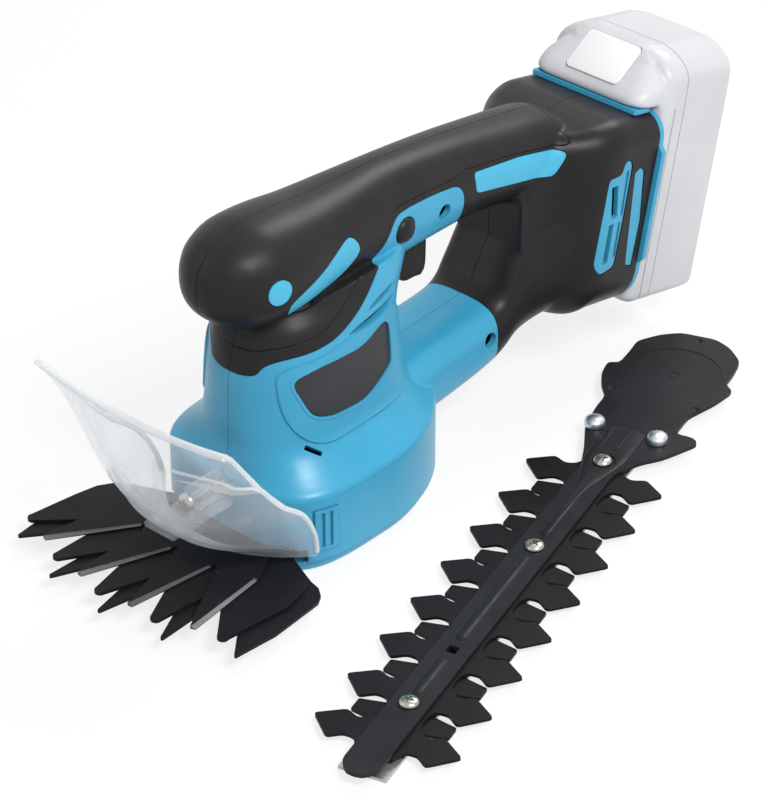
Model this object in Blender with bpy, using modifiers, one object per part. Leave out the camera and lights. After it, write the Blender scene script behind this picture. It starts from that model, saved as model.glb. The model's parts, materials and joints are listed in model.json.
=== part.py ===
"""Cordless garden shears: body with hand arch, grass blades, guard, battery pack, and a hedge blade beside it.

The blades point to -Y, +Z is up and +X is the tool's left. The origin is on the ground under the gear housing.
Sizes are written in millimetres and become metres where a mesh is made.
"""

import math

import bmesh
import bpy
from mathutils import Matrix, Vector

MM = 0.001
FIT_GAP = 0.3            # clearance between two pieces that touch
WALL = 3.0               # plastic shell thickness
SKIN = 1.5               # rubber and inlay thickness over the shell
RING_POINTS = 24         # points round a lofted section
RING_POINTS_INSIDE = 16  # points round a section that is hidden inside
ROUND_SEGMENTS = 20      # sides of a round piece
FAR = 260.0              # reach of cutters past the object

# Gear housing
COVER_TOP = 7.0
HOUSING_LOW = COVER_TOP + FIT_GAP
SLOT_TOP = 14.2
SLOT_HALF_WIDTH = 43.0
STRUT_SPLIT = 99.0       # where the blue front of the strut meets the black rear shell

# Battery seat: a plane behind the handle that leans rearward
SEAT_TILT = math.radians(13.0)
SEAT_Y = 194.5
SEAT_Z = 88.0
SEAT_LOW = -57.0
SEAT_HIGH = 42.5
FLANGE_HALF_WIDTH = 40.0
RAIL_PLATE = 3.0
EAR_HALF_WIDTH = 42.6
RAIL_STEM = 22.0
RAIL_STEM_WIDTH = 3.0
RAIL_HEAD = 28.0
RAIL_REACH = 5.0
RAIL_LOW = -44.0
RAIL_HIGH = 26.0

# Battery pack, in the frame of its seat
PACK_HALF_WIDTH = 37.5
PACK_LOW = -57.0
PACK_HOOD = SEAT_HIGH + RAIL_PLATE
PACK_FRONT = FIT_GAP + 0.1
PACK_RIDGE = 16.4
PACK_REAR = 56.0
PACK_FLOOR = 9.0         # inner face of the upper case that the cells rest on
BUTTON_HALF_WIDTH = 16.1
BUTTON_LENGTH = 23.5
BUTTON_SLOPE = math.radians(43.3)
BUTTON_TRAVEL = 3.0

# Grass blades
PIVOT_Y = 4.5
PIVOT_RADIUS = 4.0
TOOTH_PITCH = 13.5       # degrees between neighbouring teeth
BLADE_THICKNESS = 1.6
LOWER_BLADE_LOW = COVER_TOP + 0.7 + FIT_GAP
COMB_BLADE_LOW = LOWER_BLADE_LOW + BLADE_THICKNESS + FIT_GAP
UPPER_BLADE_LOW = COMB_BLADE_LOW + BLADE_THICKNESS + FIT_GAP
BLADES_TOP = UPPER_BLADE_LOW + BLADE_THICKNESS
BLADE_OFF_CENTRE = 2.45  # degrees the moving blade stands short of its middle
BLADE_SWING = 6.5        # degrees the moving blade turns to each side of its middle

# Drive
MOTOR_Y = -8.0
MOTOR_RADIUS = 18.0
MOTOR_LOW = 46.0
MOTOR_TOP = 103.0
MOTOR_SHAFT_RADIUS = 1.6
GEAR_MODULE = 1.0
PINION_TEETH = 10
GEAR_TEETH = 50
GEAR_LOW = 26.0
GEAR_TOP = 36.0
GEAR_SHAFT_RADIUS = 3.0
CRANK_Y = MOTOR_Y + GEAR_MODULE * (PINION_TEETH + GEAR_TEETH) / 2
CRANK_THROW = 2.0
CRANK_PIN_RADIUS = 1.5
PLATE_LOW = 40.0
PLATE_TOP = 44.0

# Trigger, lock button and screws, placed as (y, z) in the side view
TRIGGER_HALF_WIDTH = 6.5
TRIGGER_PIVOT = (46.0, 119.0)
TRIGGER_PIN_RADIUS = 1.5
LOCK_CENTRE = (36.0, 133.0)
LOCK_RADIUS = 6.4
HANDLE_SCREW = (64.0, 130.0)
STRUT_SCREW = (93.5, 48.0)
SCREW_RADIUS = 1.8
SCREW_HEAD_RADIUS = 3.5

# Hedge blade, lying on the ground to the left of the tool
HEDGE_X = 69.5
HEDGE_Y = 178.0
HEDGE_TURN = math.radians(15.2 - 90)
HEDGE_PITCH = 31.0
HEDGE_TEETH = 8
HEDGE_FIRST_TOOTH = 95.0
HEDGE_STROKE = 7.5
HEDGE_SHEET = 1.5
HEDGE_MOVING_LOW = HEDGE_SHEET + FIT_GAP
HEDGE_FIXED_LOW = HEDGE_MOVING_LOW + HEDGE_SHEET + FIT_GAP
HEDGE_BAR_LOW = HEDGE_FIXED_LOW + HEDGE_SHEET + FIT_GAP
HEDGE_BAR_TOP = HEDGE_BAR_LOW + 2.0
HEDGE_SCREWS = (84.5, 161.5, 291.0)
HEDGE_SCREW_RADIUS = 2.0
HEDGE_STUDS = (57.0, 16.2)
HEDGE_CUP_RADIUS = 22.0

BLUE = ("blue_plastic", (0.075, 0.42, 0.62), 0.38, 0.0)
RUBBER = ("black_rubber", (0.035, 0.033, 0.034), 0.6, 0.0)
DARK = ("dark_plastic", (0.09, 0.085, 0.085), 0.5, 0.0)
PALE = ("pale_plastic", (0.68, 0.67, 0.69), 0.5, 0.0)
WHITE = ("white_label", (0.9, 0.9, 0.9), 0.6, 0.0)
CLEAR = ("clear_plastic", (0.86, 0.88, 0.88), 0.1, 0.0)
BLACK_STEEL = ("black_steel", (0.03, 0.03, 0.032), 0.4, 0.7)
STEEL = ("ground_steel", (0.55, 0.55, 0.55), 0.3, 1.0)
ZINC = ("zinc_steel", (0.62, 0.62, 0.6), 0.3, 1.0)


# Scene and materials

for old in list(bpy.data.objects):
    bpy.data.objects.remove(old, do_unlink=True)

PARTS = bpy.data.collections.new("cordless_garden_shears")
bpy.context.scene.collection.children.link(PARTS)


def material(finish):
    name, colour, roughness, metallic = finish
    found = bpy.data.materials.get(name)
    if found is None:
        found = bpy.data.materials.new(name)
        found.use_nodes = True
        shader = found.node_tree.nodes["Principled BSDF"]
        shader.inputs["Base Color"].default_value = (*colour, 1.0)
        shader.inputs["Roughness"].default_value = roughness
        shader.inputs["Metallic"].default_value = metallic
    return found


# Shape makers

def part(name, bm, finish, frame=None):
    if frame is not None:
        bm.transform(frame)
    bmesh.ops.recalc_face_normals(bm, faces=bm.faces)
    mesh = bpy.data.meshes.new(name)
    bm.to_mesh(mesh)
    bm.free()
    item = bpy.data.objects.new(name, mesh)
    PARTS.objects.link(item)
    mesh.materials.append(material(finish))
    mesh.shade_smooth()
    mesh.set_sharp_from_angle(angle=math.radians(32))
    return item


def work(item, bm, operation):
    """Join, cut or keep a solid on an object; the tool is dropped afterwards."""
    tool = part(item.name + "_tool", bm, BLUE)
    change = item.modifiers.new("work", "BOOLEAN")
    change.operation = operation
    change.object = tool
    change.solver = "EXACT"
    depsgraph = bpy.context.evaluated_depsgraph_get()
    mesh = bpy.data.meshes.new_from_object(item.evaluated_get(depsgraph))
    item.modifiers.clear()
    finish = item.data.materials[0]
    item.data = mesh
    mesh.materials.clear()
    mesh.materials.append(finish)
    bpy.data.objects.remove(tool, do_unlink=True)
    mesh.set_sharp_from_angle(angle=math.radians(32))
    return item


def join(item, *solids):
    for bm in solids:
        work(item, bm, "UNION")
    return item


def cut(item, *solids):
    for bm in solids:
        work(item, bm, "DIFFERENCE")
    return item


def keep(item, bm):
    return work(item, bm, "INTERSECT")


def solid_of(item):
    bm = bmesh.new()
    bm.from_mesh(item.data)
    return bm


def taken(item):
    """The solid of an object that is dropped."""
    bm = solid_of(item)
    bpy.data.objects.remove(item, do_unlink=True)
    return bm


def mirrored(item, name):
    bm = solid_of(item)
    bm.transform(Matrix.Diagonal((-1, 1, 1, 1)))
    bmesh.ops.reverse_faces(bm, faces=bm.faces)
    bm.normal_update()
    twin = part(name, bm, BLUE)
    twin.data.materials[0] = item.data.materials[0]
    return twin


def box(low, high, frame=None):
    bm = bmesh.new()
    size = Vector(high) - Vector(low)
    middle = (Vector(high) + Vector(low)) / 2
    bmesh.ops.create_cube(bm, size=1.0, matrix=Matrix.Translation(middle * MM) @ Matrix.Diagonal((*(size * MM), 1)))
    if frame is not None:
        bm.transform(frame)
    return bm


def rod(radius, start, end, segments=ROUND_SEGMENTS, end_radius=None, frame=None):
    start = Vector(start)
    along = Vector(end) - start
    turn = along.to_track_quat("Z", "Y").to_matrix().to_4x4()
    bm = bmesh.new()
    bmesh.ops.create_cone(
        bm, cap_ends=True, segments=segments, radius1=radius * MM,
        radius2=(radius if end_radius is None else end_radius) * MM, depth=along.length * MM,
        matrix=Matrix.Translation((start + along / 2) * MM) @ turn)
    if frame is not None:
        bm.transform(frame)
    return bm


def loft(rings, frame=None):
    """A closed skin over rings that all have the same number of points."""
    bm = bmesh.new()
    rows = [[bm.verts.new(Vector(point) * MM) for point in ring] for ring in rings]
    count = len(rows[0])
    for lower, upper in zip(rows, rows[1:]):
        for i in range(count):
            j = (i + 1) % count
            bm.faces.new((lower[i], lower[j], upper[j], upper[i]))
    bm.faces.new(list(reversed(rows[0])))
    bm.faces.new(rows[-1])
    bmesh.ops.triangulate(bm, faces=[face for face in bm.faces if len(face.verts) == 4])
    bmesh.ops.recalc_face_normals(bm, faces=bm.faces)
    if frame is not None:
        bm.transform(frame)
    return bm


def drawn_solid(drawn):
    """The solid that a curve or a modified object comes out as; the drawn object is dropped."""
    depsgraph = bpy.context.evaluated_depsgraph_get()
    mesh = bpy.data.meshes.new_from_object(drawn.evaluated_get(depsgraph))
    bm = bmesh.new()
    bm.from_mesh(mesh)
    bpy.data.meshes.remove(mesh)
    bpy.data.objects.remove(drawn, do_unlink=True)
    bmesh.ops.remove_doubles(bm, verts=bm.verts, dist=0.000001)
    bmesh.ops.recalc_face_normals(bm, faces=bm.faces)
    return bm


def turned(profile, frame=None, segments=ROUND_SEGMENTS):
    """A profile of (radius, height) points, running down its outer side, spun round Z."""
    mesh = bpy.data.meshes.new("profile")
    count = len(profile)
    closing = [] if profile[0][0] == 0 else [(count - 1, 0)]
    mesh.from_pydata([(r * MM, 0, z * MM) for r, z in profile], [(i, i + 1) for i in range(count - 1)] + closing, [])
    drawn = bpy.data.objects.new("profile", mesh)
    PARTS.objects.link(drawn)
    screw = drawn.modifiers.new("turning", "SCREW")
    screw.steps = segments
    screw.render_steps = segments
    screw.use_merge_vertices = True
    screw.merge_threshold = 0.00001
    bm = drawn_solid(drawn)
    if frame is not None:
        bm.transform(frame)
    return bm


def sheet(outlines, low, high, frame=None):
    """A flat outline, with any holes after it, as a filled curve with a thickness."""
    curve = bpy.data.curves.new("outline", "CURVE")
    curve.dimensions = "2D"
    curve.fill_mode = "BOTH"
    curve.extrude = (high - low) / 2 * MM
    for outline in outlines:
        spline = curve.splines.new("POLY")
        spline.points.add(len(outline) - 1)
        for place, (x, y) in zip(spline.points, outline):
            place.co = (x * MM, y * MM, 0, 1)
        spline.use_cyclic_u = True
    drawn = bpy.data.objects.new("outline", curve)
    PARTS.objects.link(drawn)
    bm = drawn_solid(drawn)
    bm.transform(Matrix.Translation((0, 0, (high + low) / 2 * MM)))
    if frame is not None:
        bm.transform(frame)
    return bm


UPRIGHT = Matrix(((0, 0, 1, 0), (1, 0, 0, 0), (0, 1, 0, 0), (0, 0, 0, 1)))


def side_view(outline, low_x, high_x, frame=None):
    """A solid with a side outline of (y, z) points between two values of x."""
    return sheet([outline], low_x, high_x, UPRIGHT if frame is None else frame @ UPRIGHT)


def tube(name, points, radius, finish):
    curve = bpy.data.curves.new(name, "CURVE")
    curve.dimensions = "3D"
    curve.bevel_depth = radius * MM
    curve.bevel_resolution = 1
    curve.resolution_u = 4
    curve.use_fill_caps = True
    spline = curve.splines.new("BEZIER")
    spline.bezier_points.add(len(points) - 1)
    for place, point in zip(spline.bezier_points, points):
        place.co = Vector(point) * MM
        place.handle_left_type = "AUTO"
        place.handle_right_type = "AUTO"
    drawn = bpy.data.objects.new(name, curve)
    PARTS.objects.link(drawn)
    return part(name, drawn_solid(drawn), finish)


def circle(x, y, radius, count=16):
    steps = [2 * math.pi * i / count for i in range(count)]
    return [(x + radius * math.cos(a), y + radius * math.sin(a)) for a in steps]


def slot(x, y, half_length, radius, count=8):
    """A hole with round ends, long in x."""
    points = []
    for end, start in ((1, -90), (-1, 90)):
        for i in range(count + 1):
            angle = math.radians(start + 180 * i / count)
            points.append((x + end * half_length + radius * math.cos(angle), y + radius * math.sin(angle)))
    return points


def oval(half_width, low, middle, high, low_power, high_power, count=RING_POINTS):
    """A section whose lower and upper halves have their own depth and squareness."""
    points = []
    for i in range(count):
        angle = 2 * math.pi * (i + 0.5) / count
        c, s = math.cos(angle), math.sin(angle)
        power, depth = (high_power, high - middle) if s > 0 else (low_power, middle - low)
        across = half_width * math.copysign(abs(c) ** (2 / power), c)
        points.append((across, middle + depth * math.copysign(abs(s) ** (2 / power), s)))
    return points


def rounded_rectangle(half_width, low, high, low_radius, high_radius, steps=5):
    corners = ((half_width, high, high_radius, 0), (-half_width, high, high_radius, 90),
               (-half_width, low, low_radius, 180), (half_width, low, low_radius, 270))
    points = []
    for x, y, radius, start in corners:
        centre_x = x - math.copysign(radius, x)
        centre_y = y - radius if y == high else y + radius
        for i in range(steps + 1):
            angle = math.radians(start + 90 * i / steps)
            points.append((centre_x + radius * math.cos(angle), centre_y + radius * math.sin(angle)))
    return points


def inset(outline, amount):
    """An outline moved inward by an amount on every edge."""
    count = len(outline)
    area = sum(outline[i - 1][0] * outline[i][1] - outline[i][0] * outline[i - 1][1] for i in range(count))
    side = 1 if area > 0 else -1
    moved = []
    for i in range(count):
        here = Vector(outline[i])
        first = (here - Vector(outline[i - 1])).normalized()
        second = (Vector(outline[(i + 1) % count]) - here).normalized()
        normal = Vector((-first.y, first.x)) * side
        bisector = (normal + Vector((-second.y, second.x)) * side).normalized()
        moved.append(tuple(here + bisector * amount / max(0.3, bisector.dot(normal))))
    return moved


SEAT_TURN = Matrix.Rotation(-SEAT_TILT, 4, "X")
SEAT = Matrix.Translation((0, SEAT_Y * MM, SEAT_Z * MM)) @ SEAT_TURN
HEDGE = Matrix.Translation((HEDGE_X * MM, HEDGE_Y * MM, 0)) @ Matrix.Rotation(HEDGE_TURN, 4, "Z")


# Body forms: gear bowl with column, handle, strut and battery flange

def bowl_rings(grow, low, count=RING_POINTS):
    """Height, half width, front, middle, rear, squareness of the front and of the rear."""
    levels = [
        (low, 48.6, -66, -5, 62, 4.0, 1.85), (38, 50.3, -66, -5, 62.5, 4.0, 1.85),
        (42, 50.0, -65.5, -5, 62, 3.9, 1.85), (45, 47.0, -63.5, -8, 59, 3.6, 1.9), (50, 42.0, -62, -12, 52, 3.1, 2.0),
        (58, 35.5, -61, -18, 44, 2.6, 2.3), (66, 34.0, -61, -22, 40.5, 2.3, 2.5), (78, 33.0, -60.5, -25, 39, 2.1, 2.6),
        (90, 32.0, -60, -25, 38, 2.1, 2.6), (105, 31.0, -57, -24, 40, 2.1, 2.6), (115, 29.0, -53, -20, 45, 2.2, 2.6),
        (125 + grow, 25.0, -47, -10, 50, 2.2, 2.6),
    ]
    rings = []
    for height, half_width, front, middle, rear, front_power, rear_power in levels:
        plan = oval(half_width + grow, front - grow, middle, rear + grow, front_power, rear_power, count)
        rings.append([(x, y, height) for x, y in plan])
    return rings


def handle_rings(grow, count=RING_POINTS):
    """Place along the handle, top, bottom and half width."""
    stations = [
        (-79, 145, 141, 2), (-78.3, 149.5, 136.5, 6.5), (-76, 154.5, 131.5, 12), (-71, 160.5, 126, 18),
        (-62, 165, 120.5, 24), (-47, 167.5, 118, 27.5), (-30, 166.5, 118.5, 27), (-10, 164, 120, 24.5),
        (15, 162.5, 118, 22), (40, 161, 111, 20.5), (80, 156, 111, 20),
        (120, 149, 106, 21), (142, 145, 98, 22), (154, 141, 94, 23), (162, 133, 92, 24),
    ]
    if grow < 0:
        stations = [(-79 - grow, 149, 137, 7), *stations[3:]]
    rings = []
    for i, (y, top, bottom, half_width) in enumerate(stations):
        ease = 0 if grow < 0 and i == 0 else grow
        section = oval(half_width + ease, bottom - ease, (top + bottom) / 2, top + ease, 2.3, 2.2, count)
        rings.append([(x, y, z) for x, z in section])
    return rings


def strut_rings(grow, count=RING_POINTS):
    """Place along the strut, top, bottom and half width."""
    stations = [
        (26, 57, 26, 26), (55, 60, 24, 25), (80, 61, 25.5, 24), (STRUT_SPLIT, 62.5, 29, 24), (107, 67, 32, 24),
        (114, 78, 35, 24), (124, 92, 37, 25), (136, 100, 39, 28), (150, 104, 41, 33),
    ]
    rings = []
    for y, top, bottom, half_width in stations:
        section = oval(half_width + grow, bottom - grow, (top + bottom) / 2, top + grow, 3.2, 3.2, count)
        rings.append([(x, y, z) for x, z in section])
    return rings


def flange_rings(grow, end, count=RING_POINTS):
    """In the seat's frame: place, half width, bottom, top, corner radii and share of the seat's lean."""
    stations = [
        (-77, 20, -33, 15, 14, 14, 0.0), (-68, 21.5, -50, 27, 15, 14, 0.2), (-57, 25, -57, 34, 17, 13, 0.4),
        (-47, 33, -59.5, 37, 19, 12, 0.6), (-39, 38, -60, 40, 20, 12, 0.8),
        (-29, FLANGE_HALF_WIDTH, SEAT_LOW - 1, SEAT_HIGH, 20, 12, 1.0),
        (end, FLANGE_HALF_WIDTH, SEAT_LOW, SEAT_HIGH, 20, 12, 1.0),
    ]
    rings = []
    stations[0] = (stations[0][0] - grow, *stations[0][1:])
    for place, half_width, bottom, top, low_radius, high_radius, lean in stations:
        section = rounded_rectangle(half_width + grow, bottom - grow, top + grow, low_radius + grow, high_radius + grow,
                                    count // 4 - 1)
        rings.append([SEAT_TURN @ Vector((x, place - z * math.tan(SEAT_TILT) * (1 - lean), z)) +
                      Vector((0, SEAT_Y, SEAT_Z)) for x, z in section])
    return rings


def body_form(name, grow):
    """The four outer forms joined into one solid, shrunk by one amount."""
    low, end, count = 2.0, 8.0, RING_POINTS_INSIDE
    if grow == 0:
        low, end, count = HOUSING_LOW, -(RAIL_PLATE + FIT_GAP), RING_POINTS
    whole = part(name, loft(bowl_rings(grow, low, count)), BLUE)
    return join(whole, loft(handle_rings(grow, count)), loft(strut_rings(grow, count)),
                loft(flange_rings(grow, end, count)))


outer_form = body_form("outer_form", 0.0)
skin_form = body_form("skin_form", -SKIN)
pocket_form = body_form("pocket_form", -SKIN - FIT_GAP)
inner_form = body_form("inner_form", -WALL)
body_shell = part("body_shell", solid_of(outer_form), BLUE)
cut(body_shell, solid_of(inner_form))
body_skin = part("body_skin", solid_of(outer_form), RUBBER)
cut(body_skin, solid_of(skin_form))

# Side outlines that part the body: blue housing, black handle shell, rubber over the handle shell
GRIP_LINE = [(-100, 93), (-57, 94), (-54, 101), (-48, 104), (-20, 107), (-7, 112), (11, 122), (21, 131), (29, 143),
             (37, 143.5), (54, 142.5), (74, 140), (78, 133), (77.5, 118), (77, 100)]
HANDLE_OUTLINE = GRIP_LINE + [(80, 90), (STRUT_SPLIT, 80), (STRUT_SPLIT, -20), (FAR, -20), (FAR, 200), (-100, 200)]
HOUSING_OUTLINE = [(-100, -20)] + GRIP_LINE + [(80, 90), (STRUT_SPLIT, 80), (STRUT_SPLIT, -20)]
RUBBER_OUTLINE = [(-100, 106), (-56, 106), (-50, 109), (-30, 112), (-14, 118), (6, 128), (20, 133.5), (24, 140),
                  (29, 146.5), (33, 146.5), (74, 143.5), (78, 145), (85, 143.5), (110, 139.5), (136, 133.5),
                  (148, 131), (151, 138), (149, 152), (146, 200), (-100, 200)]


def left_piece(name, source, outline, finish):
    piece = part(name, solid_of(source), finish)
    return keep(piece, side_view(inset(outline, FIT_GAP / 2), FIT_GAP / 2, FAR))


def within(form, *solids):
    """Solids kept only where they lie inside a body form."""
    kept = []
    for bm in solids:
        kept.append(taken(keep(part("rib", bm, BLUE), solid_of(form))))
    return kept


def skin_patch(name, outline, finish, raised):
    """A patch that sits in the outer wall, with its face raised over it or sunk below it."""
    level = raised if raised > 0 else 0.0
    piece = part(name, loft(handle_rings(level)) if level else solid_of(outer_form), finish)
    cut(piece, solid_of(skin_form))
    return keep(piece, side_view(inset(outline, FIT_GAP), 8, FAR))


def skin_hole(piece, outline, depth_form, low_x):
    """Removes the outer wall inside an outline, down to a deeper form."""
    opening = part("opening", side_view(outline, low_x, FAR), BLUE)
    cut(opening, solid_of(depth_form))
    return cut(piece, taken(opening))


# Gear housing halves: blue shells with ribs for blade bolt, gear plate and motor, and openings for the controls
UPPER_SLIT = [(-0.7, 109.9), (7, 112.6), (15, 113.7), (23.5, 113.9), (19.4, 111.4), (9.5, 110)]
LOWER_SLIT = [(-15.4, 104.6), (-8, 106.2), (3.4, 107.2), (13, 107.6), (23.5, 108.2), (20, 105.2), (8, 103.2), (-4.2, 103.4)]
SIDE_BADGE = [(-48, 94), (-34, 98), (-7, 96), (10, 101), (16, 96), (16, 76), (12, 74), (-7, 68), (-29, 70), (-40, 74)]
TRIGGER_Y, TRIGGER_Z = TRIGGER_PIVOT
LOCK_Y, LOCK_Z = LOCK_CENTRE
left_housing = left_piece("left_housing", body_shell, HOUSING_OUTLINE, BLUE)
cut(left_housing, box((-1, -80, 0), (SLOT_HALF_WIDTH, -45, SLOT_TOP)))
join(left_housing, *within(
    pocket_form,
    box((FIT_GAP / 2, -4, BLADES_TOP + 3.0), (60, 13, 23)),
    box((28.5, -14, PLATE_LOW - 3.5), (60, 10, PLATE_LOW - FIT_GAP)),
    box((12, -20, 70), (60, 6, 74)),
    box((TRIGGER_HALF_WIDTH + 2 * FIT_GAP, TRIGGER_Y - 4.5, TRIGGER_Z - 4.5), (60, TRIGGER_Y + 4.5, TRIGGER_Z + 4.5)),
    rod(4.5, (FIT_GAP / 2, *HANDLE_SCREW), (60, *HANDLE_SCREW), 16),
    rod(4.5, (FIT_GAP / 2, *STRUT_SCREW), (60, *STRUT_SCREW), 16)))
cut(left_housing,
    rod(PIVOT_RADIUS + FIT_GAP, (0, PIVOT_Y, 10), (0, PIVOT_Y, 24)),
    rod(MOTOR_RADIUS + FIT_GAP, (0, MOTOR_Y, 60), (0, MOTOR_Y, 80), 32),
    rod(TRIGGER_PIN_RADIUS + FIT_GAP, (0, *TRIGGER_PIVOT), (12 + FIT_GAP, *TRIGGER_PIVOT), 16),
    rod(LOCK_RADIUS + FIT_GAP, (-1, *LOCK_CENTRE), (60, *LOCK_CENTRE)),
    box((-1, 44, 100), (TRIGGER_HALF_WIDTH + 2 * FIT_GAP, 71.5, 118)),
    box((36, -53.5, 12.7), (60, -41.5, 35.3)),
    side_view(UPPER_SLIT, 18, FAR),
    side_view(LOWER_SLIT, 18, FAR),
    rod(3.2, (36.2, -48.4, 69.8), (43.2, -26.4, 50.8), 12))
badge_seat = part("badge_seat", side_view(SIDE_BADGE, 10, FAR), BLUE)
cut(badge_seat, loft(bowl_rings(-1.6, 2.0)))
cut(left_housing, taken(badge_seat))
right_housing = mirrored(left_housing, "right_housing")
for y, z in (HANDLE_SCREW, STRUT_SCREW):
    cut(left_housing, rod(SCREW_RADIUS + FIT_GAP, (-1, y, z), (60, y, z), 16),
        rod(SCREW_HEAD_RADIUS + FIT_GAP, (14, y, z), (60, y, z), 20))
    cut(right_housing, rod(SCREW_RADIUS + FIT_GAP, (1, y, z), (-15, y, z), 16))

# Badge panels: bare plates let into the column sides
left_badge_panel = part("left_badge_panel", loft(bowl_rings(-0.4, 2.0)), DARK)
cut(left_badge_panel, loft(bowl_rings(-1.3, 1.0)))
keep(left_badge_panel, side_view(inset(SIDE_BADGE, FIT_GAP), 12, FAR))
right_badge_panel = mirrored(left_badge_panel, "right_badge_panel")

# Handle shell halves: black, from the pommel to the battery flange and down into the strut
REAR_INLAY = [(85, 141.5), (86, 130), (112, 124), (138, 118.4), (145.6, 128.6), (143.2, 130.6), (118, 136.5)]


def from_seat(outline):
    """A side outline given by its distances from the middle of the battery seat."""
    return [(SEAT_Y + y, SEAT_Z + z) for y, z in outline]


VENT = from_seat([(-42.5, -20), (-39.5, -26), (-28.5, -25.5), (-22.5, -2), (-16.5, 26), (-18.3, 29.6), (-22.3, 29.6),
                  (-24.5, 24), (-32.5, 24)])
VENT_SLOTS = [from_seat(outline) for outline in (
    [(-30.9, 19), (-26.9, 19), (-27.1, 2), (-31.5, 2)], [(-32.7, -1), (-29.3, -1), (-33.5, -21), (-37.1, -21)],
    [(-20.5, 24), (-18.7, 24), (-22.9, 1), (-24.7, 1)], [(-25.9, -2), (-24.1, -2), (-27.7, -20), (-29.5, -20)])]
SIDE_GROOVE = from_seat([(-14.6, 20.5), (-10.2, 22), (-7.4, 19), (-9, -8), (-14.9, -31), (-19.5, -29), (-19.5, -25)])
left_handle_shell = left_piece("left_handle_shell", body_shell, HANDLE_OUTLINE, DARK)
join(left_handle_shell, *within(
    pocket_form,
    box((FIT_GAP / 2, 84, 100), (60, 90, 125 - FIT_GAP))))
skin_hole(left_handle_shell, RUBBER_OUTLINE, pocket_form, -5)
skin_hole(left_handle_shell, REAR_INLAY, pocket_form, 8)
cut(left_handle_shell, side_view(VENT, 30, FAR))
groove = part("groove", side_view(SIDE_GROOVE, 30, FAR), BLUE)
cut(groove, loft(flange_rings(-1.6, 20)))
cut(left_handle_shell, taken(groove))
right_handle_shell = mirrored(left_handle_shell, "right_handle_shell")

# Rubber over the handle shells, with holes for the pommel inlays on the left
GRIP_STRIP = [(-6.5, 149), (-2, 147.5), (2, 142), (2.6, 137.5), (-6.3, 132), (-18, 126), (-34, 121.5), (-42, 123),
              (-46.5, 129), (-46, 134), (-35, 138), (-23.6, 141.8), (-15, 145.6)]
GRIP_DOT = circle(-53.2, 142.9, 6.4, 16)
left_rubber_grip = left_piece("left_rubber_grip", body_skin, inset(RUBBER_OUTLINE, FIT_GAP / 2), RUBBER)
right_rubber_grip = mirrored(left_rubber_grip, "right_rubber_grip")
cut(left_rubber_grip, side_view(GRIP_STRIP, 8, FAR), side_view(GRIP_DOT, 8, FAR))
grip_strip = skin_patch("grip_strip", GRIP_STRIP, BLUE, 0.3)
grip_dot = skin_patch("grip_dot", GRIP_DOT, BLUE, 0.3)
left_rear_inlay = skin_patch("left_rear_inlay", REAR_INLAY, BLUE, 0.0)
right_rear_inlay = mirrored(left_rear_inlay, "right_rear_inlay")

# Vent frames in the flange sides, with a narrow blue strip in the groove beside each
left_vent_frame = part("left_vent_frame", loft(flange_rings(-0.3, -3.6)), BLUE)
cut(left_vent_frame, loft(flange_rings(-WALL + 0.2, 20)))
keep(left_vent_frame, side_view(inset(VENT, FIT_GAP), 30, FAR))
for opening in VENT_SLOTS:
    cut(left_vent_frame, side_view(opening, 30, FAR))
right_vent_frame = mirrored(left_vent_frame, "right_vent_frame")
left_vent_strip = part("left_vent_strip", loft(flange_rings(-0.3, -3.6)), BLUE)
cut(left_vent_strip, loft(flange_rings(-1.6 + FIT_GAP, 20)))
keep(left_vent_strip, side_view(inset(SIDE_GROOVE, FIT_GAP), 30, FAR))
right_vent_strip = mirrored(left_vent_strip, "right_vent_strip")

# Rail plate that closes the flange: blue plate with ears, top lip and two rails that hold the battery
def plate_outline():
    """The flange outline with an ear on each side."""
    edge = rounded_rectangle(FLANGE_HALF_WIDTH, SEAT_LOW, SEAT_HIGH, 20, 12)
    ear = [(FLANGE_HALF_WIDTH, -33), (EAR_HALF_WIDTH, -30), (EAR_HALF_WIDTH, 25), (FLANGE_HALF_WIDTH, 28)]
    half = len(edge) // 2
    return edge[:half] + [(-x, z) for x, z in reversed(ear)] + edge[half:] + ear


LYING = SEAT @ Matrix(((1, 0, 0, 0), (0, 0, -1, 0), (0, 1, 0, 0), (0, 0, 0, 1)))
battery_rail_plate = part("battery_rail_plate", sheet([plate_outline()], 0, RAIL_PLATE, LYING), BLUE)
join(battery_rail_plate,
     loft([[(x, y, height) for x, y in rounded_rectangle(32, -16.4, -0.2, 1, 6)]
           for height in (SEAT_HIGH + FIT_GAP, PACK_HOOD - FIT_GAP)], SEAT),
     box((-30, -RAIL_PLATE + 0.4, SEAT_HIGH - 4), (30, -0.6, SEAT_HIGH + 2), SEAT))


def rail_section(side, grow):
    """Plan of one rail: a stem off the plate and a head that hooks outward."""
    inner, stem, head = RAIL_STEM - grow, RAIL_STEM + RAIL_STEM_WIDTH + grow, RAIL_HEAD + grow
    plan = [(inner, -1), (stem, -1), (stem, RAIL_REACH - 2.2 - grow), (head, RAIL_REACH - 2.2 - grow),
            (head, RAIL_REACH + grow), (inner, RAIL_REACH + grow)]
    return [(side * x, y) for x, y in plan]


for side in (-1, 1):
    join(battery_rail_plate, sheet([rail_section(side, 0)], RAIL_LOW, RAIL_HIGH, SEAT))
cut(battery_rail_plate, box((-14.6, -8, -13), (14.6, 8, 19), SEAT))

# Terminal block between the rails
terminal_block = part("terminal_block", box((-14.3, -12, -12.7), (14.3, 2, 18.7), SEAT), DARK)
join(terminal_block, box((-18, -12.2, -16), (18, -RAIL_PLATE - FIT_GAP, 22), SEAT))
for across in (-10.5, -3.5, 3.5, 10.5):
    join(terminal_block, box((across - 0.5, 1, -8), (across + 0.5, 6, 14), SEAT))

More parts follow.
